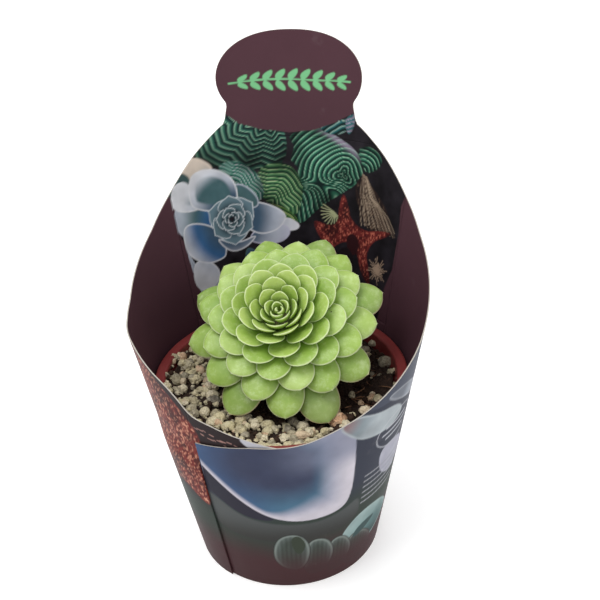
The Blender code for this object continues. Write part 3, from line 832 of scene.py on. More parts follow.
def build_loose_stones(pumice):
    """More stones at listed places, then grit: thick on the left and in front, thin elsewhere."""
    solids = []
    kinds = []
    for i, (x, y, size, kind) in enumerate(LOOSE_STONES):
        solids.append(resting_lump(x, y, size, 0.3 * size, 200 + i, 26, 34, 0.85))
        kinds.append(kind)
    x, y, direction, chance = scattered(31, GRIT_COUNT, 24.0, SOIL_REACH + 0.1)
    wanted = 0.9 * smoothstep(34.0, 6.0, direction) * smoothstep(-176.0, -140.0, direction) + 0.1
    for i in np.flatnonzero(chance[:, 0] < wanted):
        size = 0.7 + 1.9 * chance[i, 1] ** 1.8
        rise = 0.45 * size + 0.5 * chance[i, 3]
        solids.append(resting_lump(x[i], y[i], size, rise, 400 + int(i), 8, 10, 0.85, 0.2))
        kinds.append(0.1 + 0.85 * chance[i, 2])
    points, faces, owner = join_solids(solids)
    make_piece("pumice_grit", points, faces, [pumice],
               values={"stone_kind": np.array(kinds)[owner]})


def bark_fibre(x, y, clod, chance):
    """One fibre: a thin tube along a flat parabola, thinner at both ends and kept inside the pot."""
    heading = FULL_TURN * chance[0]
    along = np.linspace(-0.5, 0.5, 6)[:, None]
    length = 2.5 + 5.5 * chance[1]
    bend = (chance[2] - 0.5) * length * 1.6
    path = np.concatenate([
        x + length * along * math.cos(heading) - bend * along ** 2 * math.sin(heading),
        y + length * along * math.sin(heading) + bend * along ** 2 * math.cos(heading),
        soil_level(x, y) + 1.0 + 3.6 * clod + 1.5 * (chance[0] - 0.3) * along,
    ], 1)
    path[:, :2] *= np.minimum(1.0, FIBRE_REACH / np.hypot(path[:, 0], path[:, 1]))[:, None]
    angle = full_circle(FIBRE_SIDES)[None, :]
    thick = (0.16 + 0.3 * chance[2]) * (1.0 - 2.6 * along ** 2)
    sideways = np.array((-math.sin(heading), math.cos(heading), 0.0))
    rings = path[:, None] + (thick * np.cos(angle))[..., None] * sideways
    rings = rings + (thick * np.sin(angle))[..., None] * np.array((0.0, 0.0, 0.7))
    return tube_solid(rings, path[0], path[-1])


def build_crumbs(dark, fibre):
    """Peat crumbs all over the soil, and bent bark fibres on the bare side."""
    x, y, direction, chance = scattered(57, CRUMB_COUNT, 14.0, SOIL_REACH)
    sizes = 0.5 + 1.3 * chance[:, 1] ** 2.0
    crumbs = [resting_lump(x[i], y[i], size, 0.5 * size, 1400 + i, 6, 8, 0.8, 0.4)
              for i, size in enumerate(sizes)]
    points, faces, owner = join_solids(crumbs)
    make_piece("peat_crumbs", points, faces, [dark])
    x, y, direction, chance = scattered(73, FIBRE_COUNT, 28.0, SOIL_REACH - 0.8)
    clod = on_clod(x, y, 6.5, 7.5)
    wanted = 0.25 * smoothstep(0.0, 40.0, direction) + 0.6 * clod + 0.06
    fibres = [bark_fibre(x[i], y[i], clod[i], chance[i]) for i in np.flatnonzero(chance[:, 3] < wanted)]
    points, faces, owner = join_solids(fibres)
    make_piece("bark_fibres", points, faces, [fibre])


# ---------------------------------------------------------------- card sleeve: shape

EDGE_BACK = ((20.0, 1.0), (24.0, 1.0), (37.0, 0.87), (50.0, 0.72), (63.0, 0.585), (77.0, 0.48), (90.0, 0.385))
EDGE_LEFT = (
    (100.0, 0.36), (119.0, 0.37), (126.0, 0.335), (134.0, 0.3), (140.0, 0.28), (145.0, 0.24),
    (148.5, 0.185), (151.5, 0.148), (156.0, 0.138), (161.0, 0.125), (167.0, 0.1), (172.0, 0.085),
    (178.0, 0.064), (185.0, 0.036), (193.0, 0.012), (200.0, -0.004),
)
EDGE_RIGHT = (
    (101.0, 0.3), (114.0, 0.246), (128.0, 0.182), (138.0, 0.14), (150.0, 0.1), (162.0, 0.057),
    (169.0, 0.044), (185.0, 0.04), (198.0, 0.012), (211.0, -0.018),
)


def edge_height(knots, turn):
    """Cut top edge of one side: straight between its knots, then averaged over a few degrees."""
    turns, shares = np.array(EDGE_BACK + knots).T
    fine = np.arange(16.0, 226.0, 0.25)
    line = POT_HEIGHT + np.interp(fine, turns, shares) * (NECK_HEIGHT - POT_HEIGHT)
    for _ in range(3):
        line = np.convolve(np.pad(line, 6, "edge"), np.ones(13) / 13.0, "valid")
    return np.interp(turn, fine, line)


def sleeve_radius(height):
    """Outer radius of the card cone."""
    foot = POT_BASE_RADIUS + SLEEVE_CLEARANCE + CARD
    rim = POT_RIM_RADIUS + SLEEVE_CLEARANCE + LAP_GAP + CARD
    return foot + (rim - foot) * height / POT_HEIGHT


def lap_offset(turn, height):
    """How far the left end of the card stands off the cone: outwards low down, inwards above the lock."""
    share = smoothstep(95.0, LOCK_TURN - 8.0, turn)
    side = 1.0 - 2.0 * smoothstep(LOCK_HEIGHT - 12.0, LOCK_HEIGHT + 2.0, height)
    side = np.where(turn > LOCK_TURN + 0.5, -1.0, side)
    return (CARD + LAP_GAP) * share * side


def card_patch(name, turn, height, inks, cut=(False, True, False, False)):
    """A piece of the card from a grid of turns and heights, bent to the cone and CARD thick.

    The point at a turn and height lies at the cone's radius plus the lap offset. Its inner
    face is the same grid one card thickness nearer the axis, and four strips join their edges:
    foot, top, first and last turn. Strips that are cut edges of the card show its core; cut
    says so for each of the four, or for each face along one.
    """
    rows, columns = turn.shape
    radius = sleeve_radius(height) + lap_offset(turn, height)
    outer = np.stack([*direction_to_xy(HEADER_DIRECTION + turn, radius), height], -1)
    inner = np.stack([*direction_to_xy(HEADER_DIRECTION + turn, radius - CARD), height], -1)
    points = np.concatenate([outer.reshape(-1, 3), inner.reshape(-1, 3)])
    number = np.arange(rows * columns).reshape(rows, columns)
    under = number + rows * columns
    face = grid_faces(rows, columns, False)
    strips = []
    for top, back, flip in (
        (number[0], under[0], False), (number[-1], under[-1], True),
        (number[:, 0], under[:, 0], True), (number[:, -1], under[:, -1], False),
    ):
        strip = np.stack([top[:-1], back[:-1], back[1:], top[1:]], -1)
        strips.append(strip[:, ::-1] if flip else strip)
    strips = np.concatenate(strips)
    faces = [face, face[:, ::-1] + rows * columns, strips]
    lengths = (columns - 1, columns - 1, rows - 1, rows - 1)
    strip_finish = np.concatenate([np.broadcast_to(np.where(c, 2, 0), n) for c, n in zip(cut, lengths)])
    finish_of = np.concatenate([np.zeros(len(face)), np.ones(len(face)), strip_finish])
    flat = np.arange(len(finish_of)) >= len(face) * 2
    outside = np.tile(outside_print(turn.ravel(), height.ravel()), (2, 1))
    inside = np.tile(inside_print(turn.ravel(), height.ravel()), (2, 1))
    values = {"outside_ink": outside, "inside_ink": inside}
    make_piece(name, points, faces, inks, ("card_sleeve",), finish_of, flat, values)


def turn_patch(name, first, last, foot, top, pitch, inks, cut):
    """Patch between two turns whose rows run evenly from a foot line up to a top line."""
    mean = 55.0 * math.radians(abs(last - first))
    columns = int(mean / pitch) + 2
    turn = np.linspace(first, last, columns)
    low = foot(turn)
    high = top(turn)
    rows = int((high - low).max() / pitch) + 2
    share = np.linspace(0.0, 1.0, rows)[:, None]
    height = low + (high - low) * share
    card_patch(name, np.broadcast_to(turn, height.shape).copy(), height, inks, cut)


def header_rows():
    """Half turn and height of each row from the shoulders up the neck and round the header."""
    shoulder_turns = np.linspace(PICTURE_TURN, NECK_TURN, 56)
    shoulder = edge_height(EDGE_LEFT, shoulder_turns)
    shoulder[-1] = NECK_HEIGHT
    middle = (HEADER_HEIGHT + NECK_HEIGHT) / 2.0 - 1.0
    half = HEADER_HEIGHT - middle
    angle = np.radians(np.linspace(-30.0, 89.6, 92))
    oval_turns = HEADER_HALF_ANGLE * np.cos(angle) ** 0.85
    oval = middle + half * np.sin(angle)
    neck = np.linspace(0.0, 1.0, 16)[1:-1]
    neck_turns = NECK_TURN + (oval_turns[0] - NECK_TURN) * neck
    neck_heights = NECK_HEIGHT + (oval[0] - NECK_HEIGHT) * neck
    turns = np.concatenate([shoulder_turns, neck_turns, oval_turns])
    heights = np.concatenate([shoulder, neck_heights, oval])
    eased = np.convolve(np.pad(turns, 3, "edge"), np.ones(7) / 7.0, "valid")
    row = np.arange(len(turns))
    blend = smoothstep(0.0, 6.0, row) * smoothstep(110.0, 90.0, row)
    return turns + (eased - turns) * blend, heights


def card_foot(turn):
    """Foot line of the card."""
    return np.full_like(turn, SLEEVE_FOOT)


def picture_foot(turn):
    """Level line where the back picture's patch begins."""
    return np.full_like(turn, PICTURE_FOOT)


def left_top(turn):
    """Cut edge of the card's left half."""
    return edge_height(EDGE_LEFT, turn)


def right_top(turn):
    """Cut edge of the card's right half."""
    return edge_height(EDGE_RIGHT, -turn)


def panel_top(turn):
    """Cut edge of the front panel, which steps down where the tab passes inside it."""
    return right_top(turn) + np.interp(-turn, (209.8, 210.1, 217.6, 221.0), (0.0, -11.5, -15.5, -25.5))


def tab_foot(turn):
    """Lower edge of the tab, from the lock round to its rounded end."""
    knots = (LOCK_TURN, LOCK_TURN + 0.8, LOCK_TURN + 2.0, LOCK_TURN + 14.0, TAB_END_TURN - 3.0, TAB_END_TURN)
    return LOCK_HEIGHT + np.interp(turn, knots, (-0.5, -0.6, -1.2, -6.0, -6.0, -3.0))


def build_sleeve():
    """The card in patches: back picture, header, sides, lapped left end with its tab, front panel."""
    inks = [
        card_finish("card_outside", "outside_ink", 0.3),
        card_finish("card_inside", "inside_ink", 0.2),
        paper_core_finish(),
    ]
    half_turns, heights = header_rows()
    shoulder = float(heights[0])
    below = np.linspace(PICTURE_FOOT, shoulder, 140)[:-1]
    half_turns = np.concatenate([np.full_like(below, PICTURE_TURN), half_turns])
    heights = np.concatenate([below, heights])
    seam = int(np.searchsorted(heights, HEADER_SEAM))
    for name, rows, columns in (
        ("card_back_picture", slice(0, seam + 1), 226), ("card_header", slice(seam, None), 190),
    ):
        turn = half_turns[rows, None] * np.linspace(-1.0, 1.0, columns)[None, :]
        height = np.broadcast_to(heights[rows, None], turn.shape).copy()
        ends = heights[rows][:-1] >= shoulder
        card_patch(name, turn, height, inks, (False, name == "card_header", ends, ends))
    for name, first, last, foot, top, pitch, cut in (
        ("card_back_low", -PICTURE_TURN, PICTURE_TURN, card_foot, picture_foot, 0.9, (1, 0, 0, 0)),
        ("card_left_side", PICTURE_TURN, LEFT_SIDE_TURN, card_foot, left_top, 0.8, (1, 1, 0, 0)),
        ("card_right_side", RIGHT_SIDE_TURN, -PICTURE_TURN, card_foot, right_top, 0.8, (1, 1, 0, 0)),
        ("card_left_flap", LEFT_SIDE_TURN, LOCK_TURN, card_foot, left_top, 0.42, (1, 1, 0, 0)),
        ("card_front_panel", PANEL_FOOT_TURN, RIGHT_SIDE_TURN, card_foot, panel_top, 0.52, (1, 1, 0, 0)),
        ("card_tab", LOCK_TURN, TAB_END_TURN, tab_foot, left_top, 0.42, (1, 1, 0, 1)),
    ):
        turn_patch(name, first, last, foot, top, pitch, inks, cut)


# ---------------------------------------------------------------- card sleeve: printed pictures

def cut_corners(corners):
    """Closed outline whose corners have been cut three times, a quarter of each side at a time."""
    line = np.array(corners, float)
    for _ in range(3):
        after = np.roll(line, -1, 0)
        line = np.stack([line * 0.75 + after * 0.25, line * 0.25 + after * 0.75], 1).reshape(-1, 2)
    return line


def line_distance(x, y, line):
    """Distance to the nearest point of a line of straight runs."""
    nearest = np.full(x.shape, 1e9)
    for (x0, y0), (x1, y1) in zip(line, line[1:]):
        run, rise = x1 - x0, y1 - y0
        share = np.clip(((x - x0) * run + (y - y0) * rise) / (run * run + rise * rise + 1e-9), 0.0, 1.0)
        nearest = np.minimum(nearest, (x - x0 - share * run) ** 2 + (y - y0 - share * rise) ** 2)
    return np.sqrt(nearest)


def depth_inside(x, y, outline):
    """Distance to a closed outline, positive inside by the even-odd rule."""
    closed = np.concatenate([outline, outline[:1]])
    inside = np.zeros(x.shape, bool)
    for (x0, y0), (x1, y1) in zip(closed, closed[1:]):
        rise = y1 - y0 if abs(y1 - y0) > 1e-9 else 1e-9
        inside ^= ((y0 > y) != (y1 > y)) & (x < x0 + (y - y0) * (x1 - x0) / rise)
    return np.where(inside, 1.0, -1.0) * line_distance(x, y, closed)


def between(first, second, share):
    """Colours part of the way from one to the other."""
    share = np.asarray(share)[..., None]
    return first + (second - first) * share


class Ink:
    """Ink laid on the flat card; x runs against the turn and y up, both in millimetres.

    Corners are given as (turn, height), the turn in flat millimetres at 1 / scale. A shift
    moves what is drawn round the card.
    """

    def __init__(self, turn, height, scale):
        self.scale = scale
        self.shift = 0.0
        self.x = -turn * scale
        self.y = height
        self.colour = np.zeros((len(turn), 3))

    def flat(self, corners):
        """Corners turned into x and y."""
        return np.array([(-(turn + self.shift) * self.scale, height) for turn, height in corners], float)

    def paint(self, line, margin, cover_of, shade):
        """Blend a shade over the points near a line; cover_of gives their depth and cover."""
        low = line.min(0) - margin
        high = line.max(0) + margin
        near = (self.x > low[0]) & (self.x < high[0]) & (self.y > low[1]) & (self.y < high[1])
        if near.any():
            x, y = self.x[near], self.y[near]
            depth, cover = cover_of(x, y)
            colour = shade(x, y, depth) if callable(shade) else shade
            self.colour[near] = between(self.colour[near], colour, np.clip(cover + 0.5, 0.0, 1.0))

    def lay(self, corners, shade, soft=0.35, sharp=False):
        """Fill an outline; shade is a colour or a function of x, y and the depth inside."""
        line = self.flat(corners)
        if not sharp:
            line = cut_corners(line)

        def cover_of(x, y):
            depth = depth_inside(x, y, line)
            return depth, depth / soft

        self.paint(line, soft, cover_of, shade)

    def stroke(self, corners, width, shade, soft=0.25):
        """Draw an open line of one width."""
        line = self.flat(corners)

        def cover_of(x, y):
            depth = width * 0.5 - line_distance(x, y, line)
            return depth, depth / soft

        self.paint(line, width, cover_of, shade)


MAROON = tint(82, 54, 62)
INSIDE_SCALE = 1.1            # flat millimetres for one degree of turn, on the back's inner face
OUTSIDE_SCALE = 0.85          # the same on the lower outer face


def clouded(colour, amount, fineness, layer):
    """Shade of one colour in soft lighter and darker clouds."""
    return lambda x, y, depth: colour * (1.0 + amount * cloud(x * fineness, y * fineness, layer, 3))[...,
            None]


def rib_shade(phase, dark, body, crest, light):
    """Ribbed flesh: each whole step of phase goes dark gap, body, thin pale crest."""
    part = phase - np.floor(phase)
    colour = between(dark, body, smoothstep(0.1, 0.75, part) ** 1.4)
    colour = between(colour, crest, np.exp(-((part - 0.8) / 0.085) ** 2) * 0.85)
    colour = between(colour, dark, smoothstep(0.88, 0.99, part))
    return colour * np.maximum(light, 0.15)[..., None]


def fan_of_ribs(centre, pitch, zigzag, teeth, dark, body, crest):
    """Shade with nested ribs about a centre, their lines thrown into teeth round it."""
    def shade(x, y, depth):
        across, up = x - centre[0], y - centre[1]
        angle = np.arctan2(up, across)
        tooth = np.abs((angle * teeth / np.pi) % 2.0 - 1.0)
        phase = (np.hypot(across, up) + zigzag * tooth + 0.8 * cloud(x * 0.12, y * 0.12, 3.0, 2)) / pitch
        light = 0.5 + 0.5 * cloud(x * 0.1, y * 0.1, 8.0, 3) + 0.4 * smoothstep(0.0, 5.0, depth)
        return rib_shade(phase, dark, body, crest, light)
    return shade


def petal_shade(root, reach, deep, middle, pale, rim=1.6, stripe=None, start=0.1):
    """Smooth petal: deep at its root, pale at its end and along its rim."""
    def shade(x, y, depth):
        share = np.hypot(x - root[0], y - root[1]) / reach
        colour = between(deep, middle, smoothstep(start, start + 0.42, share))
        colour = between(colour, pale, smoothstep(start + 0.3, start + 0.75, share) * 0.85)
        colour = between(colour, pale, smoothstep(rim, rim * 0.2, depth))
        if stripe is not None:
            colour = between(colour, stripe, smoothstep(2.2, 4.0, depth) * smoothstep(1.15, 0.8, share))
        fold = 1.0 + 0.14 * cloud(x * 0.16, y * 0.16, 2.0, 3) - 0.3 * smoothstep(0.5, 0.0, share)
        return colour * fold[..., None]
    return shade


def speckle_shade(ground, light, dark, size=0.8, slant=0.0):
    """Rough skin: short bright dashes over a ground, with dark patches."""
    def shade(x, y, depth):
        u, v = x + slant * y, y - slant * x
        dash = cloud(u / size, v / (size * 2.6), 6.0, 1)
        patch = cloud(x * 0.16, y * 0.16, 12.0, 2)
        colour = between(ground, dark, smoothstep(0.0, 0.6, patch) * 0.85)
        colour = between(colour, dark, smoothstep(-0.15, -0.5, dash) * 0.7)
        shine = smoothstep(0.2, 0.6, dash) * smoothstep(0.0, 1.2, depth) * (0.9 - 0.4 * patch)
        return between(colour, light, shine)
    return shade


def leafy_sprig(ink, spread, middle, rise, colour, pairs):
    """A plain sprig: a level stem and leaves in pairs that shorten towards its ends."""
    bends = ((1, 0), (0.4, 0.5), (-0.4, 0), (-1, 0.4))
    ink.stroke([(spread * share, middle + bend) for share, bend in bends], 0.7, colour)
    for i in range(pairs):
        share = (i + 0.5) / pairs * 2.0 - 1.0
        length = rise * (1.0 - 0.45 * abs(share) ** 2)
        foot = -share * spread * 0.92
        for side in (-1.0, 1.0):
            tip = middle + side * length
            half = middle + side * length * 0.5
            ink.lay([(foot + 0.6, middle), (foot + 0.98, half), (foot - 2.6, tip),
                     (foot - 2.64, half), (foot - 0.6, middle)], colour)


def rays(ink, centre, reaches, aspect, first, step, width, colour):
    """Straight strokes out from a centre, one for each reach; first and step are in degrees."""
    for i, reach in enumerate(reaches):
        swing = math.radians(first + i * step)
        tip = (centre[0] - reach * math.cos(swing), centre[1] + aspect * reach * math.sin(swing))
        ink.stroke([centre, tip], width, colour)


def right_crests(ink):
    """The great ribbed crest at the right, and three small ones behind its top edge."""
    deep_green, green, pale_green = tint(14, 36, 36), tint(54, 122, 96), tint(160, 206, 176)
    teal, lilac = tint(52, 132, 136), tint(178, 160, 186)

    def great_crest(x, y, depth):
        """Ribs fanned about an eye at the right, swept aside at the lower left."""
        eye = np.hypot(x - 22.5, (y - 143.0) * 1.15)
        fan = eye / 2.15 + 0.5 * np.sin(np.arctan2(y - 143.0, x - 22.5) * 3.0 + 0.6)
        sweep = (x * 0.86 + (y - 138.0) * 0.5 + 0.012 * (y - 138.0) ** 2) / 2.05
        low = smoothstep(141.0, 134.0, y) * smoothstep(26.0, 14.0, x)
        phase = fan * (1.0 - low) + sweep * low + 0.25 * cloud(x * 0.12, y * 0.12, 4.0, 2)
        light = 0.45 + 0.4 * cloud(x * 0.09, y * 0.09, 8.0, 3) + 0.45 * smoothstep(0.0, 6.0, depth)
        colour = rib_shade(phase, deep_green, green, pale_green, light)
        colour = colour * (0.55 + 0.45 * smoothstep(1.0, 6.0, eye))[..., None]
        ridge = np.exp(-((depth - 1.0) / 1.6) ** 2) * smoothstep(148.0, 156.0, y) * smoothstep(8.0, 20.0, x)
        return between(colour, lilac, ridge * 0.6)

    ink.lay([(2, 158.6), (-9.7, 163), (-18, 158.6), (-25.6, 154.3), (-29.4, 146.5), (-26.6, 140.2),
             (-19.1, 134), (-10.8, 127.4), (-3, 118.6), (-0.3, 122.9), (-3.8, 129), (-2.6, 140.7),
             (-1.8, 145.7), (1.1, 147.9), (-1.4, 153.7)], great_crest)
    ink.lay([(-25.2, 155.4), (-32.4, 157.6), (-38, 151.6), (-30.6, 144.8), (-28, 149)],
            fan_of_ribs((31.0, 146.0), 2.0, 0.2, 4, deep_green, green, pale_green))
    ink.lay([(-8.6, 162), (-19.6, 168), (-23.4, 163.8), (-16.6, 158.6)],
            fan_of_ribs((24.0, 152.0), 2.0, 0.3, 6, deep_green, teal, tint(196, 220, 200)))
    ink.lay([(-19.6, 167), (-24.3, 170.2), (-23.5, 163), (-21.2, 159.6)],
            fan_of_ribs((22.0, 170.0), 1.8, 0.5, 6, teal, lilac, tint(206, 206, 226)))


def red_star(ink):
    """A dry tuft and a small fan behind, then the red star with its dark hollows, and a round burr."""
    ink.lay([(-28, 145.5), (-33, 141), (-42, 133), (-47, 123), (-38, 121.4), (-31.5, 122), (-25, 137)],
            speckle_shade(tint(44, 32, 30), tint(92, 74, 62), tint(24, 20, 22), 0.6, 0.4))
    for i in range(34):
        share = i / 33.0
        bend = 2.2 * math.sin(i * 2.4)
        ink.stroke([(-28.6 - share * 2.0, 145.0 - share),
                    (-28.5 - share * 7.0 + bend * 0.4, 137.0 - share * 1.5),
                    (-29.0 - share * 13.0 - bend * 0.5, 130.0), (-29.0 - share * 19.0, 123.6 + bend * 0.5)],
                   0.3, between(tint(70, 54, 48), tint(176, 156, 134), (i * 0.37) % 1.0))
    rays(ink, (-17.6, 126.0), [6.0] * 12, 1.05, 150.0, 15.0, 0.45, tint(168, 172, 132))
    ink.lay([(-20.8, 136.2), (-23.8, 129), (-24.8, 124.3), (-31.6, 120.3), (-39, 123), (-47, 124.6),
             (-41, 120), (-36.6, 117.4), (-33.5, 110.7), (-36.2, 103.4), (-38, 96), (-31.8, 101.1),
             (-29, 110.5), (-24.8, 114.6), (-19.6, 112.3), (-17, 109.2), (-13, 112), (-10, 116.1),
             (-7.9, 122.1), (-14.6, 119.9), (-19, 121.4), (-19.4, 129.7)],
            speckle_shade(tint(112, 42, 40), tint(192, 104, 86), tint(52, 20, 22), 0.4, 0.3))
    ink.lay([(-23, 115.8), (-26.4, 119), (-30.2, 114.7), (-28.8, 108.8), (-25, 108.4)], tint(48, 20, 24))
    ink.lay([(-22.4, 112), (-26, 110.6), (-29, 103.4), (-24, 98), (-18, 106)], tint(26, 20, 24))
    burr = [4.2 + 1.6 * math.sin(i * 1.7) for i in range(30)]
    rays(ink, (-40.5, 105.5), burr, 1.1, 3.0, 12.0, 0.35, tint(176, 150, 128))


def left_crests(ink):
    """The broad dark crest at the left, two plain leaves by it, and three green ones before it."""
    def first_crest(x, y, depth):
        """Ribs nested about a point at the top edge, thrown into long teeth."""
        across, up = x + 9.0, y - 168.0
        angle = np.arctan2(up, across)
        tooth = np.abs((angle * 3.4) % 2.0 - 1.0)
        phase = (np.hypot(across, up * 1.15) + 2.6 * tooth + 1.2 * cloud(x * 0.1, y * 0.1, 3.0, 2)) / 2.75
        light = 0.35 + 0.75 * smoothstep(146.0, 166.0, y) + 0.3 * cloud(x * 0.1, y * 0.1, 8.0, 3)
        return rib_shade(phase, tint(18, 34, 38), tint(52, 112, 94), tint(150, 186, 160), light)

    ink.lay([(26, 172), (13.9, 166), (3.2, 162), (1.6, 155), (2.7, 147), (10.1, 143.6), (16.2, 144.5),
             (21.5, 149.8), (30.8, 147), (38.5, 154.9), (33.7, 163)], first_crest)
    ink.lay([(38.8, 156), (29, 147.5), (35.6, 142.7), (46.8, 148)],
            petal_shade((-34.0, 143.0), 12.0, tint(160, 150, 150), tint(196, 186, 176), tint(222, 206, 192)))
    ink.lay([(45.5, 151), (39, 145), (47, 140), (56, 143)], tint(62, 84, 84))
    ink.lay([(13.6, 144), (7.5, 147.2), (1.4, 146.4), (-3.6, 139.6), (-4.2, 131.9), (-1, 121.6),
             (7.1, 126.6), (13.2, 132), (14.1, 138.3)],
            fan_of_ribs((-14.0, 122.0), 1.9, 1.6, 9,
                        tint(24, 60, 44), tint(92, 150, 98), tint(190, 216, 164)))
    ink.lay([(30.3, 148.2), (21.4, 150), (14.4, 143.9), (11.2, 136.1), (12.6, 129.5), (18.7, 133.3),
             (23.6, 138.8)],
            fan_of_ribs((-34.0, 128.0), 1.7, 1.5, 11,
                        tint(30, 84, 78), tint(110, 172, 150), tint(204, 196, 206)))
    ink.lay([(11.6, 130), (3.1, 126.9), (-2.7, 120.9), (0, 117.6), (7.8, 122.6)],
            fan_of_ribs((-12.0, 112.0), 1.6, 0.4, 9,
                        tint(40, 84, 44), tint(122, 164, 84), tint(206, 206, 150)))


def inside_print(turn, height):
    """Inner face: maroon card with a collage of ribbed, blue and red succulents at the back."""
    ink = Ink(turn, height, INSIDE_SCALE)
    veil = cloud(turn * 0.05, height * 0.05, 2.0, 3)
    ink.colour[:] = MAROON * (1.0 + 0.05 * veil[..., None])
    if not ((np.abs(turn) < 52.0) & (height > 80.0)).any():
        return ink.colour
    ink.lay([(60, 175), (48.1, 146), (49.6, 131.5), (49.5, 121.7), (47.1, 119.4), (47.6, 110),
             (45.5, 100), (44, 80), (-44, 80), (-46, 99.5), (-49.1, 109), (-49.7, 126), (-48.7, 137),
             (-60, 175)],
            clouded(tint(30, 27, 32), 0.5, 0.2, 1.0), sharp=True)
    ink.lay([(-24, 172), (-37, 155), (-50, 143), (-49, 150), (-38, 166)], tint(52, 58, 58))
    right_crests(ink)
    red_star(ink)
    left_crests(ink)
    blue_rosette(ink)
    small_petals(ink)
    ink.lay([(24.6, 170.6), (19.2, 164.8), (11.6, 161.5), (0.8, 159.6), (-8.4, 160.9), (-16.4, 164.8),
             (-23.6, 170), (-32, 178), (-30, 206), (30, 206), (32, 178)],
            clouded(MAROON, 0.05, 0.06, 2.0), sharp=True)
    leafy_sprig(ink, 21.0, 181.6, 5.2, tint(124, 196, 140), 9)
    return ink.colour


def blue_rosette(ink):
    """Broad outer petals of a large pale rosette, from behind forwards."""
    white, cool = tint(224, 224, 230), tint(190, 196, 210)
    blue, slate, grey_green = tint(56, 100, 148), tint(66, 90, 112), tint(74, 104, 108)
    root = (-28.4, 124.0)
    petals = (
        (((49, 124), (47, 112), (43, 104), (33, 98), (28, 92), (36, 88), (46, 92)),
         grey_green, slate, cool),
        (((46.6, 110.2), (38.3, 108.8), (33, 100.7), (40, 94), (48, 98)), blue, cool, white),
        (((22, 112), (14, 106), (6, 104), (-2, 99), (8, 95), (22, 96)), slate, slate, grey_green),
        (((3.9, 123.5), (-3.2, 119.4), (-1.2, 116.3), (5.6, 116.4)), slate, cool, white),
        (((17, 118), (4.7, 120.2), (0.6, 116.2), (4.6, 111), (13.5, 110.4), (20, 113)),
         slate, cool, tint(198, 196, 216)),
        (((17.3, 131.1), (9, 128.5), (3.1, 124.5), (3.4, 120.6), (7.6, 116.1), (15.4, 115), (22, 121)),
         slate, cool, white),
        (((24.8, 139), (19.6, 139.2), (13.6, 132), (14.5, 126.8), (24, 128.5)), grey_green, slate, cool),
        (((50.6, 136.2), (41.2, 136.5), (30, 127.1), (33, 120.2), (44, 119.4), (50.7, 123.8)),
         blue, grey_green, cool),
        (((49.3, 144.5), (42.9, 146), (39.6, 139.5), (36, 131.7), (44, 131.4), (51.2, 135.1)),
         grey_green, cool, white),
        (((38.8, 148.1), (30.1, 147.8), (22.5, 141.5), (22, 130), (30, 128), (38, 130.5), (42.8, 134),
          (41.9, 143.4)),
         slate, cool, white),
        (((46.9, 127.4), (38, 125.5), (30, 119), (29.6, 108.6), (33, 106.8), (40, 106.6), (47.6, 112.7),
          (48.8, 121)),
         slate, blue, white),
        (((34.8, 118.2), (25.2, 112.4), (14.6, 116.2), (20.6, 109.9), (28.6, 108.8)), slate, cool, white),
    )
    for i, (outline, deep, middle, pale) in enumerate(petals):
        stripe = tint(70, 102, 108) if i in (8, 9) else None
        ink.lay(outline, petal_shade(root, 22.0 if i > 6 else 26.0, deep, middle, pale, 0.9, stripe, 0.46))


# Corners of a small petal: share of its half angle, share of its radius
PETAL_CORNERS = (
    (-1.0, 0.7), (-0.9, 0.9), (-0.5, 1.0), (-0.1, 1.06), (0.0, 1.14), (0.1, 1.06), (0.5, 1.0),
    (0.9, 0.9), (1.0, 0.7), (0.5, 0.42), (-0.5, 0.42),
)
# Turns of three small petals: radius, twist and half angle of a petal in radians
PETAL_TURNS = (
    (10.6, 0.5, 1.0), (9.6, 1.55, 0.9), (6.9, 0.15, 0.95), (5.2, 1.2, 0.95), (3.5, 0.4, 0.95),
    (2.1, 1.4, 0.95),
)


def small_petals(ink):
    """Cupped petals about the rosette's middle, in turns of three that grow smaller and greener."""
    middle = (25.8, 124.0)
    dark, rim = tint(30, 46, 56), tint(216, 222, 228)
    for number, (radius, twist, width) in enumerate(PETAL_TURNS):
        inner = between(tint(104, 130, 142), tint(74, 98, 100), number / (len(PETAL_TURNS) - 1.0))

        def cup(x, y, depth):
            share = np.hypot(x + middle[0] * INSIDE_SCALE, y - middle[1]) / radius
            colour = between(dark, inner, smoothstep(0.45, 0.95, share))
            return between(colour, rim, smoothstep(0.65, 0.1, depth) * smoothstep(0.6, 0.9, share))

        for first in twist + full_circle(3):
            corners = []
            for swing, reach in PETAL_CORNERS:
                angle = first + swing * width
                across = radius * reach * math.cos(angle) / INSIDE_SCALE
                corners.append((middle[0] + across, middle[1] + radius * reach * math.sin(angle)))
            ink.lay(corners, cup, 0.3)


def big_leaf(shift):
    """Blue leaf face: pale lilac rim, broad at the lower right, then teal, blue and slate."""
    def shade(x, y, depth):
        across = x + shift * OUTSIDE_SCALE
        right = smoothstep(156.0, 128.0, across)
        share = depth / (1.6 + 8.0 * right)
        middle = np.hypot((across - 147.0) * 0.75, y - 76.0)
        glow = between(tint(78, 116, 142), tint(64, 92, 132), smoothstep(144.0, 168.0, across))
        colour = between(tint(212, 206, 216), tint(178, 178, 194), smoothstep(0.2, 1.1, share))
        colour = between(colour, glow, smoothstep(0.7, 2.0, share))
        colour = between(colour, tint(62, 68, 92),
                         smoothstep(27.0, 10.0, middle) * smoothstep(0.8, 2.4, share))
        colour = between(colour, tint(128, 134, 156), smoothstep(66.0, 78.0, y) * right * 0.75)
        return colour * (1.0 + 0.06 * cloud(x * 0.25, y * 0.25, 4.0, 3))[..., None]
    return shade


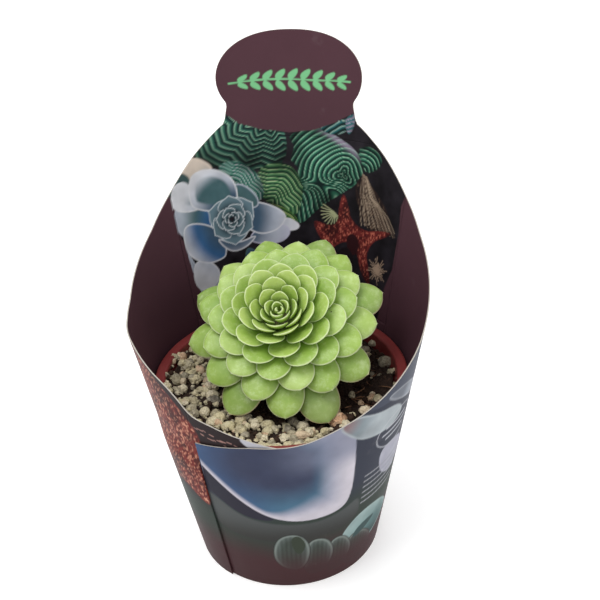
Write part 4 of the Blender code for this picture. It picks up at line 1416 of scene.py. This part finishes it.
def round_lobe(x, y, depth):
    """Grey-green lobe: thin pale upper rim, striped body, fading into the ground."""
    stripes = 0.9 + 0.14 * np.sin(x * 3.1 + 0.4 * cloud(x * 0.3, y * 0.3, 2.0, 2))
    body = between(tint(96, 106, 102), tint(70, 78, 72), smoothstep(1.0, 5.0, depth)) * stripes[..., None]
    glow = between(body, tint(138, 148, 142), np.exp(-((depth - 0.9) / 0.6) ** 2) * 0.8)
    glow = between(tint(34, 34, 34), glow, smoothstep(0.0, 0.7, depth))
    return between(glow, tint(70, 46, 48), smoothstep(27.0, 10.0, y))


def outside_print(turn, height):
    """Outer face: slate over dark green over maroon, with a blue leaf, lobes and a red flap."""
    ink = Ink(turn, height, OUTSIDE_SCALE)
    soft = 2.0 * cloud(turn * 0.06, height * 0.06, 5.0, 2)
    level = height + soft
    ground = between(tint(72, 44, 47), tint(54, 64, 58), smoothstep(16.0, 36.0, level))
    ground = between(ground, tint(56, 60, 74), smoothstep(40.0, 58.0, level))
    ink.colour[:] = between(ground, MAROON, smoothstep(96.0, 122.0, level))
    if height.min() > 120.0:
        return ink.colour
    for shift in (0.0, 118.0, 214.0):
        ink.shift = shift
        front_leaf(ink)
    for shift in (0.0, 116.0, 164.0):
        ink.shift = shift
        grey_shapes(ink)
    ink.shift = 0.0
    plain_label(ink)
    red_flap(ink, turn, height)
    return ink.colour


def front_leaf(ink):
    """Navy shadow, broad blue leaf and a row of stacked lobes."""
    ink.lay([(-214, 54), (-206.1, 52), (-195.2, 44.6), (-183.8, 42), (-170, 40.6), (-156, 40.2),
             (-143, 42.8), (-134, 47), (-134, 30), (-214, 30)],
            lambda x, y, d: between(tint(58, 58, 56), tint(86, 90, 90), smoothstep(30.0, 46.0, y)), 1.2)
    ink.lay([(-214, 74), (-214, 58), (-206.1, 52.8), (-195.2, 45.4), (-183.8, 43), (-176, 44.2),
             (-196, 60)],
            tint(46, 45, 58))
    ink.lay([(-222, 98), (-216, 74), (-211, 69.8), (-202, 61.6), (-193.6, 54), (-182.6, 46.3),
             (-169.8, 42.6), (-156, 42.2), (-143.2, 44.4), (-140.2, 52.5), (-140, 63.8), (-141, 78.3),
             (-141.5, 84.3), (-146, 98)], big_leaf(ink.shift))
    far_lobe = petal_shade((100.0, 10.0), 30.0,
                           tint(56, 76, 76), tint(96, 128, 128), tint(164, 186, 184), 1.4)
    lobes = (
        ((-146, 24), (-132.9, 36), (-112.6, 33.1), (-99.9, 22.3), (-120, 12), (-134.3, 15.8)),
        ((-142.7, 12.3), (-138.1, 24.1), (-126.1, 22.8), (-116, 12.7), (-124, 3), (-138, 4)),
        ((-153.1, 14.7), (-149.9, 26.6), (-140.8, 26.6), (-134.2, 16.6), (-140, 5), (-150.2, 5)),
        ((-165.5, 16.4), (-162.2, 30.1), (-151.3, 29), (-146, 18), (-152, 6), (-163.5, 7)),
        ((-181.9, 20.1), (-178.2, 33.4), (-166.3, 35.3), (-159.5, 24.4), (-163.9, 10), (-176.5, 12)),
    )
    for number, outline in enumerate(lobes):
        ink.lay(outline, round_lobe if number else far_lobe)
    ink.lay([(-137, 20), (-131.9, 27), (-116, 27), (-126, 22)], tint(62, 84, 84))
    ink.lay([(-170.9, 32.6), (-166.3, 33.4), (-162.5, 26.4), (-167, 20), (-170.5, 26)], tint(58, 66, 54))


def grey_shapes(ink):
    """Cloudy grey, white and faintly pink leaf tips near the top edge, and a white patch lower down."""
    ink.lay([(-138.5, 92.3), (-119.9, 91.4), (-92, 88), (-88, 106), (-140, 104)], tint(70, 76, 92))
    ink.lay([(-150.6, 90.7), (-142, 93.5), (-132, 89.5), (-118.4, 87.1), (-110, 80), (-118.9, 76),
             (-136.7, 78.3), (-144.2, 83.4)],
            petal_shade((128.0, 92.0), 22.0,
                        tint(150, 120, 122), tint(130, 142, 148), tint(182, 190, 194), 1.2))
    ink.lay([(-127.4, 95.1), (-112, 94), (-97, 86.1), (-92, 80), (-104.1, 82.8), (-122.5, 90.2)],
            petal_shade((100.0, 90.0), 24.0,
                        tint(128, 134, 146), tint(152, 158, 168), tint(184, 188, 196), 1.0))
    ink.lay([(-125.7, 66.4), (-112, 66), (-100.6, 60), (-98.9, 50.8), (-110, 46), (-122.2, 51.5)],
            petal_shade((110.0, 40.0), 22.0,
                        tint(98, 104, 122), tint(150, 152, 170), tint(186, 186, 200), 1.5))


def plain_label(ink):
    """An oval outline with plain rules in it and a block of plain rules below: no lettering."""
    middle, level = -114.5, 73.5
    pale = tint(196, 198, 206)
    oval = [(middle + 14.5 * math.cos(a), level + 8.2 * math.sin(a)) for a in np.linspace(0.0, FULL_TURN, 33)]
    ink.stroke(oval, 0.42, pale)
    for rise, width in ((2.9, 8.5), (-0.1, 10.5), (-3.1, 7.5)):
        ink.stroke([(middle - width, level + rise), (middle + width, level + rise)], 0.8, pale)
    for row in range(6):
        level = 56.4 - row * 3.1
        ink.stroke([(-133.0, level), (-106.0 - 2.2 * math.sin(row * 2.0), level)], 0.7, tint(160, 162, 168))


def red_flap(ink, turn, height):
    """Left end of the card: red skin with pale dashes, dark below, and the dark tab with pale flecks."""
    if not (turn > 96.0).any():
        return
    shadow = smoothstep(98.0, 122.0, turn) * smoothstep(38.0, 56.0, height)
    ink.colour[:] = between(ink.colour, tint(44, 34, 36), shadow)
    skin = speckle_shade(tint(124, 44, 38), tint(206, 142, 116), tint(62, 24, 24), 0.48, 0.35)
    ink.lay([(104, 104), (113, 113), (130.5, 108), (140.5, 101.1), (148.4, 93), (153, 84.6),
             (151.6, 70.4), (149.6, 47.4), (148.2, 43.6), (134, 50.5), (124, 47), (118, 57), (110, 63),
             (112, 74), (103, 84), (106, 94)],
            skin, 0.9)
    ink.lay([(150, 99), (139, 108), (128, 112), (120, 120), (152, 112)], tint(40, 28, 30))
    ink.lay([(170, 91), (174, 84), (190, 76), (202, 74), (202, 92)], tint(196, 196, 204))
    for i in range(14):
        spot = 151.5 + 1.45 * i
        level = 88.6 - 0.42 * i + 1.6 * math.sin(i * 2.7)
        fleck = [(spot, level), (spot + 1.6 + math.sin(i * 1.9), level - 0.5)]
        ink.stroke(fleck, 0.35 + 0.12 * (i % 3), tint(172, 132, 124))


# ---------------------------------------------------------------- camera, floor, light

CAMERA_PLACE = (2.095, -340.117, 315.536)
CAMERA_PITCH = 0.532285       # radians down from level
CAMERA_YAW = 0.0210921        # radians from +Y towards +X
CAMERA_ROLL = -0.0488267
CAMERA_LENS = 60.0
CAMERA_SENSOR = 36.0
FLOOR_HALF = 3.0              # metres
LIGHT_AIM = (0.0, 0.0, 0.09)


def set_camera():
    """High three-quarter view from the front, a little left of the plant."""
    level = Vector((math.sin(CAMERA_YAW), math.cos(CAMERA_YAW), 0.0))
    ahead = level * math.cos(CAMERA_PITCH) - Vector((0.0, 0.0, math.sin(CAMERA_PITCH)))
    right = Vector((math.cos(CAMERA_YAW), -math.sin(CAMERA_YAW), 0.0))
    up = right.cross(ahead)
    turned_right = right * math.cos(CAMERA_ROLL) + up * math.sin(CAMERA_ROLL)
    turned_up = up * math.cos(CAMERA_ROLL) - right * math.sin(CAMERA_ROLL)
    lens = bpy.data.cameras.new("studio_camera")
    lens.sensor_width = CAMERA_SENSOR
    lens.lens = CAMERA_LENS
    lens.clip_start = 0.01
    camera = add_object("studio_camera", lens)
    place = Matrix((turned_right, turned_up, -ahead)).transposed().to_4x4()
    place.translation = Vector(CAMERA_PLACE) * MM
    camera.matrix_world = place
    bpy.context.scene.camera = camera


def add_area_light(name, place, size, power):
    """Square soft light at a place, turned towards the plant."""
    lamp = bpy.data.lights.new(name, "AREA")
    lamp.shape = "SQUARE"
    lamp.size = size
    lamp.energy = power
    item = add_object(name, lamp)
    item.location = place
    item.rotation_euler = (Vector(LIGHT_AIM) - Vector(place)).to_track_quat("-Z", "Y").to_euler()


def set_studio():
    """Pale floor, pale world and three soft lights."""
    mesh = bpy.data.meshes.new("studio_floor")
    corners = [(x * FLOOR_HALF, y * FLOOR_HALF, 0.0) for x, y in ((-1, -1), (1, -1), (1, 1), (-1, 1))]
    mesh.from_pydata(corners, [], [(0, 1, 2, 3)])
    paper = Finish(
        "white_paper",
        Base_Color=(0.94, 0.94, 0.94, 1.0),
        Roughness=0.95,
        Specular_IOR_Level=0.0,
        Emission_Color=(1.0, 1.0, 1.0, 1.0),
        Emission_Strength=0.28,
    )
    mesh.materials.append(paper.material)
    add_object("studio_floor", mesh)
    world = bpy.data.worlds.new("studio_world")
    world.use_nodes = True
    sky = world.node_tree.nodes["Background"]
    sky.inputs["Color"].default_value = (1.0, 1.0, 1.0, 1.0)
    sky.inputs["Strength"].default_value = 0.9
    bpy.context.scene.world = world
    bpy.context.scene.view_settings.view_transform = "Standard"
    add_area_light("key_light", (-0.3, -0.15, 0.95), 0.5, 4.2)
    add_area_light("fill_light", (0.75, -0.55, 0.45), 0.6, 1.0)
    add_area_light("back_light", (0.1, 0.75, 0.7), 0.5, 1.0)


# ---------------------------------------------------------------- assembly

def main():
    """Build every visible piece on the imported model."""
    set_camera()
    set_studio()
    build_leaves(leaf_finish())
    build_stem(bark_finish())
    build_pot(terracotta_finish())
    build_soil(soil_finish())
    pumice = pumice_finish()
    build_stones(pumice)
    build_loose_stones(pumice)
    build_crumbs(
        crumb_finish("peat_crumbs", tint(22, 15, 12), tint(74, 54, 42)),
        crumb_finish("bark_fibres", tint(84, 58, 42), tint(156, 118, 88)),
    )
    build_sleeve()


main()
